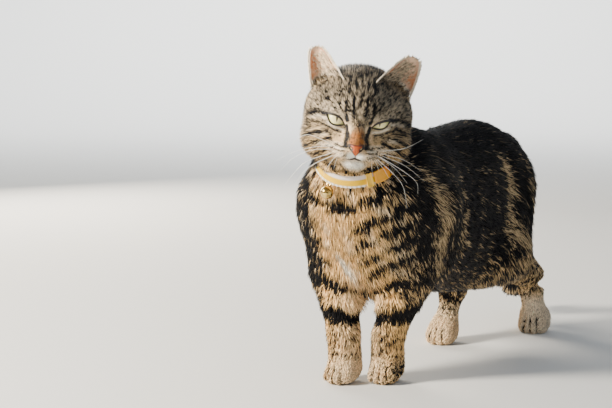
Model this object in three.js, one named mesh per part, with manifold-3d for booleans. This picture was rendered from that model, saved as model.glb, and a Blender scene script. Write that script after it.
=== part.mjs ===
// A standing tabby cat with a collar and bell, life size, as a still museum model.
// Millimetres, +Z up. The cat's body looks towards -Y, its left side is +X and the floor is z = 0.
// The body is one smooth field, measured out to the tips of the coat, and is parted with thin cuts.
import * as THREE from 'three';
import { mergeVertices } from 'three/addons/utils/BufferGeometryUtils.js';
import Module from 'manifold-3d';

const wasm = await Module();
wasm.setup();

// ---------------------------------------------------------------- driving dimensions

const GAP = 0.3; // clearance between neighbouring pieces
const BIG = 900; // side of the boxes that stand for half-spaces
const EYE_RADIUS = 10.4;
const STRAP_WIDTH = 12;
const STRAP_THICKNESS = 2;
const BELL_RADIUS = 6;

const v = (x, y, z) => new THREE.Vector3(x, y, z);
const deg = THREE.MathUtils.degToRad;
const { clamp, lerp } = THREE.MathUtils;

// Stations of the trunk from breast to rump: [y, top line, belly line, half width, middle x].
const TRUNK = [
  [-12, 198, 98, 54, 2],
  [25, 221, 88, 60, 2],
  [70, 230, 74, 62, 2],
  [120, 228, 64, 64, 0],
  [170, 231, 57, 65, -2],
  [215, 233, 57, 59, -4],
  [255, 224, 84, 50, -5],
  [280, 208, 116, 42, -4],
];
const BREAST_CAP = 34; // how far the breast rounds off in front of the first station
const RUMP_CAP = 24; // and the rump behind the last

const NECK = { root: v(4, 30, 184), top: v(10, -36, 222), rootRadius: 50, topRadius: 41 };
const MANTLE = { centre: v(-1, -12, 174), radii: v(60, 46, 42) }; // the fur over breast and shoulders

// The collar is an oval that hangs from the nape to the throat, and leans outwards to its lower edge.
const COLLAR = { centre: v(9, -33, 218), normal: v(0.23, -0.52, 0.82).normalize(), deep: 43, wide: 36 };
const STRAP_FLARE = deg(24);
const BELL_ANGLE = -13; // round the collar from its lowest point, towards the cat's left
const BELL_LEAN = 0.35; // the bell rests on the breast and so hangs a little outwards
const CLASP_ANGLE = 58;

// Each foreleg: shoulder, elbow, wrist and the paw's middle on the floor.
const FORELEGS = {
  left: { shoulder: v(38, 22, 160), elbow: v(34, 14, 104), wrist: v(17.5, 6, 40), paw: v(16.5, 5, 0), turn: 12 },
  right: { shoulder: v(-35, 12, 160), elbow: v(-35, 2, 104), wrist: v(-18, -14, 40), paw: v(-16.5, -17, 0), turn: 4 },
};
// Each hind leg: hip, stifle, hock and the paw's middle on the floor. The right one is set forward.
const HINDLEGS = {
  left: { hip: v(22, 226, 166), stifle: v(38, 200, 98), hock: v(35, 282, 62), paw: v(37, 297, 0), turn: 8 },
  right: { hip: v(-30, 226, 166), stifle: v(-42, 162, 98), hock: v(-25, 232, 61), paw: v(-19, 190, 0), turn: 2 },
};

// The tail hangs behind the hind legs and ends in a small backward curve.
const TAIL = [v(-2, 280, 198), v(-2, 308, 174), v(-3, 326, 128), v(-8, 336, 80), v(-16, 354, 42), v(-28, 384, 30)];
const TAIL_RADII = [19, 15.5, 13, 12, 11, 8];

// The head's own frame looks along -Y from between the ears' level and the jaw.
const HEAD_PLACE = new THREE.Matrix4()
  .makeRotationFromEuler(new THREE.Euler(deg(2), deg(6.5), deg(31.5), 'ZXY'))
  .setPosition(22.5, -60, 248);
const HEAD_INVERSE = HEAD_PLACE.clone().invert();
const inHead = (point) => point.clone().applyMatrix4(HEAD_PLACE);

// ---------------------------------------------------------------- fields

// A field tells how far a point lies outside a shape, and is negative inside it.

function ellipsoid(centre, radii) {
  const q = v();
  const w = v();
  return (p) => {
    q.copy(p).sub(centre).divide(radii);
    w.copy(q).divide(radii);
    const k = q.length();
    return (k * (k - 1)) / Math.max(w.length(), 1e-9);
  };
}

function limb(a, radiusA, b, radiusB) {
  const along = b.clone().sub(a);
  const square = along.lengthSq();
  const q = v();
  return (p) => {
    const t = clamp(q.copy(p).sub(a).dot(along) / square, 0, 1);
    return q.addScaledVector(along, -t).length() - lerp(radiusA, radiusB, t);
  };
}

function blend(a, b, reach) {
  const h = Math.max(reach - Math.abs(a - b), 0) / reach;
  return Math.min(a, b) - (h * h * reach) / 4;
}

const union = (reach, ...fields) => (p) => fields.reduce((d, f) => blend(d, f(p), reach), Infinity);

// A smooth curve through the k-th column of a table whose first column rises.
function column(table, k) {
  const n = table.length - 1;
  return (y) => {
    const i = clamp(table.findLastIndex((row) => row[0] <= y), 0, n - 1);
    const value = (j) => table[clamp(j, 0, n)][k];
    const slope = (j) => {
      const [low, high] = [clamp(j - 1, 0, n), clamp(j + 1, 0, n)];
      return (value(high) - value(low)) / (table[high][0] - table[low][0]);
    };
    const step = table[i + 1][0] - table[i][0];
    const t = clamp((y - table[i][0]) / step, 0, 1);
    const [t2, t3] = [t * t, t * t * t];
    return (
      value(i) * (2 * t3 - 3 * t2 + 1) +
      slope(i) * step * (t3 - 2 * t2 + t) +
      value(i + 1) * (3 * t2 - 2 * t3) +
      slope(i + 1) * step * (t3 - t2)
    );
  };
}

function trunkField() {
  const [top, belly, half, middle] = [1, 2, 3, 4].map((k) => column(TRUNK, k));
  const first = TRUNK[0][0];
  const last = TRUNK.at(-1)[0];
  const q = v();
  const w = v();
  const radii = v();
  return (p) => {
    const y = clamp(p.y, first, last);
    radii.set(half(y), p.y < first ? BREAST_CAP : RUMP_CAP, (top(y) - belly(y)) / 2);
    q.set(p.x - middle(y), p.y - y, p.z - (top(y) + belly(y)) / 2).divide(radii);
    w.copy(q).divide(radii);
    const k = q.length();
    return (k * (k - 1)) / Math.max(w.length(), 1e-9);
  };
}

const neckField = union(
  28,
  limb(NECK.root, NECK.rootRadius, NECK.top, NECK.topRadius),
  ellipsoid(MANTLE.centre, MANTLE.radii),
);

function pawField({ paw, turn }, size) {
  const place = new THREE.Matrix4().makeRotationZ(deg(turn)).setPosition(paw);
  const at = (x, y, z) => v(x, y, z).multiplyScalar(size).applyMatrix4(place);
  const toes = [-11.5, -4, 4, 11.5].map((x) =>
    ellipsoid(at(x, Math.abs(x) > 8 ? -12 : -16, 7.5), v(5.4, 9.5, 8.5).multiplyScalar(size)),
  );
  return union(5, ellipsoid(at(0, 0, 13), v(15.5, 19, 14).multiplyScalar(size)), ...toes);
}

function forelegField(leg) {
  const ankle = v(leg.paw.x, leg.paw.y + 6, 16);
  return union(
    14,
    limb(leg.shoulder, 37, leg.elbow, 26),
    limb(leg.elbow, 26, leg.wrist, 13.5),
    limb(leg.wrist, 13.5, ankle, 12),
    pawField(leg, 0.9),
  );
}

function hindlegField(leg) {
  const toes = v(leg.paw.x, leg.paw.y, 14);
  return union(
    16,
    limb(leg.hip, 40, leg.stifle, 31),
    limb(leg.stifle, 30, leg.hock, 13.5),
    limb(leg.hock, 13, toes, 11.5),
    pawField(leg, 0.85),
  );
}

function tailField() {
  const curve = new THREE.CatmullRomCurve3(TAIL);
  const steps = 14;
  const radius = (t) => {
    const s = t * (TAIL_RADII.length - 1);
    const i = Math.min(Math.floor(s), TAIL_RADII.length - 2);
    return lerp(TAIL_RADII[i], TAIL_RADII[i + 1], s - i);
  };
  const pieces = Array.from({ length: steps }, (_, i) =>
    limb(curve.getPoint(i / steps), radius(i / steps), curve.getPoint((i + 1) / steps), radius((i + 1) / steps)),
  );
  return union(3, ...pieces);
}

// The collar's own axes: across the cat to its left, and down the throat. The plane's normal is the third.
const ACROSS = v(1, 0, 0).projectOnPlane(COLLAR.normal).normalize();
const THROAT = ACROSS.clone().cross(COLLAR.normal).normalize();

// Where a point lies by the strap: its height up the strap's face, and how far outside the inner face.
function strapFrame(p) {
  const arm = p.clone().sub(COLLAR.centre);
  const [down, side, rise] = [arm.dot(THROAT), arm.dot(ACROSS), arm.dot(COLLAR.normal)];
  const ratio = Math.hypot(down / COLLAR.deep, side / COLLAR.wide);
  const reach = Math.hypot(down, side) * (1 - 1 / Math.max(ratio, 0.05));
  return {
    height: rise * Math.cos(STRAP_FLARE) - reach * Math.sin(STRAP_FLARE),
    outside: rise * Math.sin(STRAP_FLARE) + reach * Math.cos(STRAP_FLARE),
  };
}

// The head's shapes, in its own frame; pairs are mirrored in x.
const both = (make) => [make(1), make(-1)];
function headField() {
  const local = union(
    12,
    ellipsoid(v(0, 8, 9), v(44, 42, 39)), // cranium
    ellipsoid(v(0, -14, 12), v(33, 26, 26)), // forehead
    ...both((s) => ellipsoid(v(s * 29, 3, 7), v(18.5, 25, 19))), // temples
    ...both((s) => ellipsoid(v(s * 25, 0, -17), v(23, 27, 23))), // cheeks
    ellipsoid(v(0, -12, -27), v(24, 26, 16)), // jaw
    limb(v(0, -20, -10), 18, v(0, -38, -21), 12), // muzzle
  );
  const face = union(
    5,
    local,
    ...both((s) => ellipsoid(v(s * 9.5, -41, -26), v(11.5, 11, 8.5))), // whisker pads
    ellipsoid(v(0, -37, -36), v(10.5, 11, 8)), // chin
    limb(v(0, -27, 10), 10.5, v(0, -46, -17), 6.5), // bridge of the nose
    ...both((s) => ellipsoid(v(s * 20, -24, 3), v(14, 13, 12))), // lids
  );
  const q = v();
  return (p) => face(q.copy(p).applyMatrix4(HEAD_INVERSE));
}

const trunk = trunkField();
const legs = {
  left: { fore: forelegField(FORELEGS.left), hind: hindlegField(HINDLEGS.left) },
  right: { fore: forelegField(FORELEGS.right), hind: hindlegField(HINDLEGS.right) },
};
const tail = tailField();
const head = headField();

// The groove that the collar presses into the coat. It opens outwards, more towards the shoulders.
function grooveField(p) {
  const { height, outside } = strapFrame(p);
  const slope = height > 0 ? 0.12 : 0.75;
  const wall = Math.abs(height) - STRAP_WIDTH / 2 - 2 - slope * Math.max(outside, 0);
  return Math.max(wall, -outside - 1.5);
}

const coreField = (p) => blend(trunk(p), neckField(p), 36);
const legField = (name, leg) => (p) => blend(coreField(p), legs[name][leg](p), 24);
const tailedField = (p) => blend(coreField(p), tail(p), 18);

// The whole body. Head, legs and tail each blend into the core, and not into one another.
function bodyField(p) {
  const core = coreField(p);
  const limbs = Object.values(legs).flatMap(({ fore, hind }) => [blend(core, fore(p), 24), blend(core, hind(p), 24)]);
  const whole = Math.min(...limbs, blend(core, tail(p), 18), blend(core, head(p), 18));
  return -blend(-whole, grooveField(p), 5);
}

// ---------------------------------------------------------------- from field to mesh

const steps = (low, high, cell) => {
  const n = Math.ceil((high - low) / cell);
  return Array.from({ length: n + 1 }, (_, i) => low + ((high - low) * i) / n);
};

// Moves a point onto the field's surface.
function settle(field, point) {
  const slope = v();
  const h = 0.05;
  for (let round = 0; round < 4; round++) {
    const d = field(point);
    slope.set(
      field(v(point.x + h, point.y, point.z)) - d,
      field(v(point.x, point.y + h, point.z)) - d,
      field(v(point.x, point.y, point.z + h)) - d,
    ).divideScalar(h);
    point.addScaledVector(slope, -d / Math.max(slope.lengthSq(), 0.25));
  }
  return point;
}

// Surface nets: one vertex in each cell that the surface crosses, one quad round each edge that it crosses.
function polygonise(field, xs, ys, zs) {
  const size = [xs.length, ys.length, zs.length];
  const index = (i, j, k) => (k * size[1] + j) * size[0] + i;
  const values = new Float32Array(size[0] * size[1] * size[2]).fill(1);
  const p = v();
  for (let k = 1; k < size[2] - 1; k++)
    for (let j = 1; j < size[1] - 1; j++)
      for (let i = 1; i < size[0] - 1; i++) values[index(i, j, k)] = field(p.set(xs[i], ys[j], zs[k])) || 1e-6;

  const positions = [];
  const vertexOf = new Map();
  const corners = [0, 1, 2, 3, 4, 5, 6, 7].map((c) => [c & 1, (c >> 1) & 1, (c >> 2) & 1]);
  const edges = corners.flatMap((a, m) => [1, 2, 4].filter((bit) => !(m & bit)).map((bit) => [m, m | bit]));
  for (let k = 0; k < size[2] - 1; k++)
    for (let j = 0; j < size[1] - 1; j++)
      for (let i = 0; i < size[0] - 1; i++) {
        const value = corners.map(([a, b, c]) => values[index(i + a, j + b, k + c)]);
        const crossed = edges.filter(([m, n]) => value[m] < 0 !== value[n] < 0);
        if (!crossed.length) continue;
        const at = v();
        for (const [m, n] of crossed) {
          const t = value[m] / (value[m] - value[n]);
          const place = (c) => v(xs[i + corners[c][0]], ys[j + corners[c][1]], zs[k + corners[c][2]]);
          at.add(place(m).lerp(place(n), t));
        }
        const mean = at.divideScalar(crossed.length);
        const settled = settle(field, mean.clone());
        const near = settled.distanceTo(mean) < (xs[1] - xs[0]) * 0.7 ? settled : mean;
        vertexOf.set(index(i, j, k), positions.length / 3);
        positions.push(near.x, near.y, near.z);
      }

  const triangles = [];
  const quad = (a, b, c, d, flip) => {
    const [w, x, y, z] = flip ? [a, d, c, b] : [a, b, c, d];
    const far = (m, n) => Math.hypot(...[0, 1, 2].map((e) => positions[3 * m + e] - positions[3 * n + e]));
    if (far(w, y) < far(x, z)) triangles.push(w, x, y, w, y, z);
    else triangles.push(w, x, z, x, y, z);
  };
  for (let k = 0; k < size[2] - 1; k++)
    for (let j = 0; j < size[1] - 1; j++)
      for (let i = 0; i < size[0] - 1; i++) {
        const inside = values[index(i, j, k)] < 0;
        const crosses = (a, b, c) => values[index(i + a, j + b, k + c)] < 0 !== inside;
        const cell = (a, b, c) => vertexOf.get(index(i - a, j - b, k - c));
        if (j && k && crosses(1, 0, 0)) quad(cell(0, 1, 1), cell(0, 0, 1), cell(0, 0, 0), cell(0, 1, 0), !inside);
        if (i && k && crosses(0, 1, 0)) quad(cell(1, 0, 1), cell(1, 0, 0), cell(0, 0, 0), cell(0, 0, 1), !inside);
        if (i && j && crosses(0, 0, 1)) quad(cell(1, 1, 0), cell(0, 1, 0), cell(0, 0, 0), cell(1, 0, 0), !inside);
      }
  return new THREE.BufferGeometry()
    .setAttribute('position', new THREE.Float32BufferAttribute(positions, 3))
    .setIndex(triangles);
}

// Grid lines over a box, with its own cell size along each axis.
const grid = ([low, high], [cx, cy, cz]) => [
  steps(low.x, high.x, cx),
  steps(low.y, high.y, cy),
  steps(low.z, high.z, cz),
];

// ---------------------------------------------------------------- solids

// The closed solid of a geometry, with its faces pointing out.
function solid(geometry) {
  const bare = geometry.clone();
  for (const name of ['normal', 'uv']) bare.deleteAttribute(name);
  const merged = mergeVertices(bare, 1e-4);
  const vertProperties = merged.attributes.position.array;
  const make = (triVerts) => new wasm.Manifold(new wasm.Mesh({ numProp: 3, vertProperties, triVerts }));
  const triVerts = Uint32Array.from(merged.index.array);
  const made = make(triVerts);
  return made.volume() > 0 ? made : make(triVerts.reverse());
}
function geometryOf(made) {
  const { numProp, vertProperties, triVerts } = made.getMesh();
  const positions = new Float32Array((vertProperties.length / numProp) * 3);
  for (let i = 0; i < positions.length / 3; i++)
    positions.set(vertProperties.subarray(i * numProp, i * numProp + 3), i * 3);
  return new THREE.BufferGeometry()
    .setAttribute('position', new THREE.BufferAttribute(positions, 3))
    .setIndex(new THREE.BufferAttribute(triVerts, 1));
}

// All that lies beyond a plane, on the side its normal points to, less a share of the gap.
function beyond(point, normal, inset = GAP / 2) {
  const n = normal.clone().normalize();
  const turn = new THREE.Quaternion().setFromUnitVectors(v(0, 0, 1), n);
  const box = new THREE.BoxGeometry(BIG, BIG, BIG)
    .translate(0, 0, BIG / 2 + inset)
    .applyQuaternion(turn)
    .translate(point.x, point.y, point.z);
  return solid(box);
}

// A region is the list of its planes, each a point and an inward normal; a negative inset grows it.
const region = (planes, inset = GAP / 2) =>
  planes.map(([point, normal]) => beyond(point, normal, inset)).reduce((a, b) => a.intersect(b));

// A piece of the body: the field inside a box, meshed with the given cells and cut to its region.
function flesh(field, box, cells, planes) {
  return solid(polygonise(field, ...grid(box, cells))).intersect(region(planes));
}

const box = (x0, y0, z0, x1, y1, z1) => [v(x0, y0, z0), v(x1, y1, z1)];

// ---------------------------------------------------------------- where the body is parted

const FLOOR = [v(0, 0, -GAP / 2), v(0, 0, 1)]; // soles are cut flat at z = 0
const above = (z) => [v(0, 0, z), v(0, 0, 1)];
const below = (z) => [v(0, 0, z), v(0, 0, -1)];
const behind = (y) => [v(0, y, 0), v(0, 1, 0)];
const before = (y) => [v(0, y, 0), v(0, -1, 0)];
const flipped = ([point, normal]) => [point, normal.clone().negate()];
const SIDE = { left: 1, right: -1 };

const HEAD_CUT = [COLLAR.centre.clone().addScaledVector(COLLAR.normal, 14), COLLAR.normal];
const NECK_CUT = [v(5, 8, 202), v(0.08, -0.62, 0.78)];
const WAIST = 100;
const LOIN = 195;
const WRIST = 31;
const ELBOW = 78;
const ANKLE = 27;
const KNEE = 50;
const THIGH_FRONT = { left: 166, right: 122 };
const TAIL_CUT = 84;

// The planes that part the shoulders rise outwards from the armpit, and those of the thighs from the groin.
const shoulderPlanes = (name) => [
  [v(SIDE[name] * 8, 0, 84), v(SIDE[name] * 0.835, 0, -0.555)],
  [v(0, 86, 84), v(0, -0.92, -0.39)],
];
const thighPlanes = (name) => [
  [v(SIDE[name] * 24, 0, 76), v(SIDE[name] * 0.95, 0, -0.31)],
  [v(0, THIGH_FRONT[name], 80), v(0, 0.95, -0.3)],
];
const TAIL_PLANES = [
  [v(2, 292, 190), v(0, 0.95, -0.31)],
  [v(14, 0, 0), v(-1, 0, 0)],
];

// What the trunk gives up to its limbs, with a gap all round.
const given = [
  ...['left', 'right'].flatMap((name) => [
    [...shoulderPlanes(name), above(ELBOW)],
    [...thighPlanes(name), above(KNEE)],
  ]),
  [before(85), below(ELBOW)],
  [behind(110), below(KNEE)],
  TAIL_PLANES,
]
  .map((planes) => region(planes, -GAP))
  .reduce((whole, part) => whole.add(part));

// ---------------------------------------------------------------- the body's pieces

function trunkPieces() {
  const part = (low, high, planes) => {
    const room = box(-90, low, 40, 90, high, 260);
    return flesh(bodyField, room, [16, 18, 17], planes).subtract(given);
  };
  return {
    chest: part(-75, 125, [flipped(NECK_CUT), before(WAIST)]),
    belly: part(75, 220, [behind(WAIST), before(LOIN)]),
    rump: part(170, 330, [behind(LOIN)]),
    neck: flesh(bodyField, box(-75, -90, 130, 85, 90, 290), [12, 12, 12], [NECK_CUT, flipped(HEAD_CUT)]),
  };
}

function legPieces(name) {
  const side = SIDE[name];
  const fore = legField(name, 'fore');
  const hind = legField(name, 'hind');
  const { wrist, paw } = FORELEGS[name];
  const { hock, paw: hindPaw } = HINDLEGS[name];
  const front = THIGH_FRONT[name];
  const around = (at, half, low, high) => box(at.x - half, at.y - half, low, at.x + half, at.y + half, high);
  const flank = (y0, z0, y1, z1) => box(Math.min(0, side * 95), y0, z0, Math.max(0, side * 95), y1, z1);
  return {
    [`shoulder_${name}`]: flesh(fore, flank(-70, 62, 115, 200), [16, 17, 17], [...shoulderPlanes(name), above(ELBOW)]),
    [`foreleg_${name}`]: flesh(fore, around(wrist, 52, 15, 92), [8.5, 8.5, 14], [below(ELBOW), above(WRIST)]),
    [`forepaw_${name}`]: flesh(fore, around(paw, 42, -14, 46), [7, 7, 7], [FLOOR, below(WRIST)]),
    [`thigh_${name}`]: flesh(hind, flank(front - 40, 50, 325, 225), [16, 17, 17], [...thighPlanes(name), above(KNEE)]),
    [`hindleg_${name}`]: flesh(
      hind,
      flank(front - 30, 12, hock.y + 40, KNEE + 16),
      [8.5, 8.5, 11],
      [behind(110), below(KNEE), above(ANKLE)],
    ),
    [`hindpaw_${name}`]: flesh(hind, around(hindPaw, 40, -14, 44), [7, 7, 7], [FLOOR, below(ANKLE)]),
  };
}

const tailPieces = () => ({
  tail_base: flesh(tailedField, box(-50, 265, 60, 40, 400, 230), [10, 10, 14], [...TAIL_PLANES, above(TAIL_CUT)]),
  tail_tip: flesh(tailedField, box(-60, 300, 5, 30, 420, 110), [8.5, 10, 9], [...TAIL_PLANES, below(TAIL_CUT)]),
});

// ---------------------------------------------------------------- ears, eyes and nose

// A closed skin over rings of points, each capped with a fan; a round chain closes on itself instead.
function loft(rings, round = false) {
  const n = rings[0].length;
  const points = rings.flat();
  const triangles = [];
  for (let i = 0; i < rings.length - (round ? 0 : 1); i++)
    for (let j = 0; j < n; j++) {
      const [a, b] = [i * n + j, i * n + ((j + 1) % n)];
      const [c, d] = [a, b].map((m) => (m + n) % points.length);
      triangles.push(a, b, d, a, d, c);
    }
  if (!round)
    for (const [start, turn] of [[0, false], [(rings.length - 1) * n, true]]) {
      const middle = points.push(points.slice(start, start + n).reduce((s, p) => s.add(p), v()).divideScalar(n)) - 1;
      for (let j = 0; j < n; j++) {
        const pair = [start + j, start + ((j + 1) % n)];
        triangles.push(middle, ...(turn ? pair : pair.reverse()));
      }
    }
  return solid(new THREE.BufferGeometry().setFromPoints(points).setIndex(triangles));
}

// Each ear is a cup on a solid root. It stands on the head's frame and opens forwards and outwards.
const EAR = { base: v(28.5, -2, 19), tip: v(43, 4, 59.5), halfWidth: 12, depth: 14, wall: 3.2, rings: 10, points: 7 };
const EAR_ROOT = 0.28; // share of the ear's height that is solid
function earSolid(name, grow = 0) {
  const side = SIDE[name];
  const up = EAR.tip.clone().sub(EAR.base);
  const facing = v(side > 0 ? 0.42 : 0.3, -0.93, 0.1).normalize();
  const wide = facing.clone().cross(up).normalize();
  const back = wide.clone().cross(up).normalize();
  if (back.y < 0) back.negate();
  const ring = (t) => {
    const centre = EAR.base.clone().addScaledVector(up, t).addScaledVector(back, -4 * t * t);
    const half = EAR.halfWidth * (1 - clamp(t, 0, 1) ** 1.5) ** 0.4 + 1.6 + grow;
    const deep = EAR.depth * (1 - 0.82 * t) + grow;
    const open = clamp(t / EAR_ROOT, 0, 1);
    const hollow = grow ? lerp(-6, 0, open) - grow : lerp(-6, deep - EAR.wall * lerp(1, 0.62, t), open);
    const arc = (reach, depth, k) => {
      const a = deg(-90 + (180 * k) / (EAR.points - 1));
      return centre.clone().addScaledVector(wide, reach * Math.sin(a)).addScaledVector(back, depth * Math.cos(a));
    };
    const outer = Array.from({ length: EAR.points }, (_, k) => arc(half, deep, k));
    const inner = Array.from({ length: EAR.points - 2 }, (_, k) => arc(half * 0.94, hollow, EAR.points - 2 - k));
    return [...outer, ...inner].map((p) => inHead(p.multiply(v(side, 1, 1))));
  };
  const first = -grow / up.length();
  const height = (i) => lerp(first, 1, Math.sin((Math.PI / 2) * (i / (EAR.rings - 1)))); // closer towards the tip
  return loft(Array.from({ length: EAR.rings }, (_, i) => ring(height(i))));
}

const EYES = { left: v(18.7, -25.5, 2.5), right: v(-18.7, -25.5, 2.5) };
const eyeball = (name, radius) => {
  const at = inHead(EYES[name]);
  return solid(new THREE.IcosahedronGeometry(radius, 1).translate(at.x, at.y, at.z));
};

// The opening between the lids: an almond with its outer corner raised, cut straight in from the front.
function eyeOpening(name) {
  const side = SIDE[name];
  const [half, upper, lower] = [8.2, 4.4, 7.4];
  const almond = new THREE.Shape();
  almond.moveTo(-half, 0);
  almond.quadraticCurveTo(0, upper * 1.5, half, 0);
  almond.quadraticCurveTo(0, -lower * 1.5, -half, 0);
  const lens = new THREE.ExtrudeGeometry(almond, { depth: 24, bevelEnabled: false, curveSegments: 7 });
  lens.rotateZ(deg(-24)).rotateX(deg(90)).rotateZ(deg(-13)); // tilted up outside and turned outwards
  lens.translate(EYES.left.x, EYES.left.y, EYES.left.z);
  if (side < 0) lens.scale(-1, 1, 1);
  return solid(lens.applyMatrix4(HEAD_PLACE));
}

function noseSolid(grow) {
  const tip = new THREE.SphereGeometry(1, 10, 6).scale(7 + grow, 5 + grow, 5 + grow);
  tip.rotateX(deg(-25)).translate(0, -48, -19.5);
  return solid(tip.applyMatrix4(HEAD_PLACE));
}

function headPieces() {
  const reach = v(66, 74, 66);
  const centre = inHead(v(0, -4, 2));
  const block = flesh(bodyField, [centre.clone().sub(reach), centre.clone().add(reach)], [7.4, 7.4, 7.4], [HEAD_CUT]);
  const pieces = { nose: noseSolid(0) };
  let made = block.subtract(noseSolid(GAP));
  for (const name of ['left', 'right']) {
    made = made
      .subtract(earSolid(name, 0.6))
      .subtract(eyeball(name, EYE_RADIUS + GAP))
      .subtract(eyeOpening(name));
    pieces[`ear_${name}`] = earSolid(name);
    pieces[`eye_${name}`] = eyeball(name, EYE_RADIUS);
  }
  return { head: made, ...pieces };
}

// ---------------------------------------------------------------- collar and bell

// A place on the strap's inner face, at an angle from the throat: its point, the outward normal of the
// face, and the directions up and along the strap.
function strapPlace(angle) {
  const spoke = (a) =>
    THROAT.clone().multiplyScalar(COLLAR.deep * Math.cos(a)).addScaledVector(ACROSS, COLLAR.wide * Math.sin(a));
  const along = spoke(angle + 1e-3).sub(spoke(angle - 1e-3)).normalize();
  const radial = along.clone().cross(COLLAR.normal).normalize();
  if (radial.dot(spoke(angle)) < 0) radial.negate();
  const mix = (a, b) => radial.clone().multiplyScalar(a).addScaledVector(COLLAR.normal, b);
  const out = mix(Math.cos(STRAP_FLARE), Math.sin(STRAP_FLARE));
  const up = mix(-Math.sin(STRAP_FLARE), Math.cos(STRAP_FLARE));
  return { point: spoke(angle).add(COLLAR.centre), out, up, along };
}

const STRAP_STATIONS = 26;
function strapSolid(grow, outwards) {
  const half = STRAP_WIDTH / 2 + grow;
  const rings = Array.from({ length: STRAP_STATIONS }, (_, i) => {
    const { point, out, up } = strapPlace((2 * Math.PI * i) / STRAP_STATIONS);
    const corner = (depth, height) => point.clone().addScaledVector(out, depth).addScaledVector(up, height);
    const outer = STRAP_THICKNESS + outwards;
    return [corner(-grow, -half), corner(-grow, half), corner(outer, half), corner(outer, -half)];
  });
  return loft(rings, true);
}

// The strap with a small eyelet on its lower edge, the bell that hangs from the eyelet, and the clasp.
function collarPieces() {
  const bellPlace = strapPlace(deg(BELL_ANGLE));
  const hang = bellPlace.point
    .clone()
    .addScaledVector(bellPlace.up, -STRAP_WIDTH / 2)
    .addScaledVector(bellPlace.out, STRAP_THICKNESS / 2);

  // Everything here hangs from that point, along an upright that leans out at its lower end.
  const level = v(bellPlace.out.x, bellPlace.out.y, 0).normalize();
  const upwards = v(0, 0, 1).addScaledVector(level, -BELL_LEAN).normalize();
  const sideways = upwards.clone().cross(level).normalize();
  const inwards = upwards.clone().cross(sideways);
  const hung = new THREE.Matrix4().makeBasis(sideways, inwards, upwards).setPosition(hang);
  const placed = (geometry) => solid(geometry.applyMatrix4(hung));

  const tab = new THREE.Shape().absarc(0, -2, 3.2, Math.PI, 2 * Math.PI).lineTo(3.2, 2).lineTo(-3.2, 2);
  tab.holes.push(new THREE.Path().absarc(0, -2.3, 2, 0, 2 * Math.PI));
  const eyelet = new THREE.ExtrudeGeometry(tab, { depth: 1.2, bevelEnabled: false, curveSegments: 6 });
  eyelet.translate(0, 0, -0.6).rotateX(deg(90));

  // The bell: a slotted ball under a wire loop that passes through the eyelet.
  const loopHeight = -4.4;
  const ballHeight = loopHeight - BELL_RADIUS - 1.6;
  const ball = new THREE.SphereGeometry(BELL_RADIUS, 12, 8).translate(0, 0, ballHeight);
  const slot = new THREE.BoxGeometry(BELL_RADIUS * 3, 1.3, BELL_RADIUS);
  slot.translate(0, 0, ballHeight - BELL_RADIUS * 0.8);
  const loop = new THREE.TorusGeometry(2.3, 0.5, 4, 10).rotateY(deg(90)).translate(0, 0, loopHeight);
  return {
    collar_strap: strapSolid(0, 0).add(placed(eyelet)),
    collar_clasp: claspSolid().subtract(strapSolid(GAP, GAP)),
    bell: placed(ball).subtract(placed(slot)).add(placed(loop)),
  };
}

// The clasp: a flat moulded block with rounded corners, over the strap.
function claspSolid(grow = 0) {
  const { point, along, up, out } = strapPlace(deg(CLASP_ANGLE));
  const [length, width, corner] = [19 + 2 * grow, 12.6 + 2 * grow, 2.5];
  const outline = new THREE.Shape();
  for (const [sx, sy, start] of [[1, -1, -90], [1, 1, 0], [-1, 1, 90], [-1, -1, 180]]) {
    const [x, y] = [sx * (length / 2 - corner), sy * (width / 2 - corner)];
    outline.absarc(x, y, corner, deg(start), deg(start + 90));
  }
  const options = { depth: 3.6 + 2 * grow, bevelSize: 0.6, bevelThickness: 0.6, bevelSegments: 1, curveSegments: 2 };
  const block = new THREE.ExtrudeGeometry(outline, options)
    .translate(0, 0, 0.4 - grow)
    .applyMatrix4(new THREE.Matrix4().makeBasis(along, up, out).setPosition(point));
  return solid(block);
}

// ---------------------------------------------------------------- assembly

const finish = (color, roughness, metalness = 0) => new THREE.MeshStandardMaterial({ color, roughness, metalness });
const MATERIALS = {
  coat: finish('#8a7358', 0.9),
  ear: finish('#b08a72', 0.85),
  iris: finish('#c9cf8a', 0.15),
  leather: finish('#b5603f', 0.5),
  strap: finish('#f2b417', 0.6),
  plastic: finish('#e09a10', 0.35),
  brass: finish('#c9a24a', 0.3, 1),
};
const MATERIAL_OF = {
  ear_left: 'ear',
  ear_right: 'ear',
  eye_left: 'iris',
  eye_right: 'iris',
  nose: 'leather',
  collar_strap: 'strap',
  collar_clasp: 'plastic',
  bell: 'brass',
};

const collar = collarPieces();
const pieces = {
  ...headPieces(),
  ...trunkPieces(),
  ...legPieces('left'),
  ...legPieces('right'),
  ...tailPieces(),
};
pieces.neck = pieces.neck.subtract(strapSolid(GAP, 9)).subtract(claspSolid(GAP));

const cat = new THREE.Group();
for (const [name, made] of Object.entries({ ...pieces, ...collar })) {
  const mesh = new THREE.Mesh(geometryOf(made), MATERIALS[MATERIAL_OF[name] ?? 'coat']);
  mesh.name = name;
  cat.add(mesh);
}

// The part's origin is on the floor, under the middle of the whole cat.
const extent = new THREE.Box3().setFromObject(cat);
const middle = extent.getCenter(v());
cat.position.set(-middle.x, -middle.y, -extent.min.z);

export default cat;
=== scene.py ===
# %% [markdown]
# # A tabby cat in a yellow collar
#
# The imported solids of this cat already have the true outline, out to the tips of the coat.
# This lesson dresses them: one skin lies just inside the solids, tufts of hair grow on it,
# and the eyes, nose, whiskers, collar and bell are made as pieces of their own.
# Everything is in metres, and most small sizes are written in millimetres times MM.

# %% The frame
import math

import bpy
import numpy as np
from mathutils import Matrix, Vector
from mathutils.bvhtree import BVHTree


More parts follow.
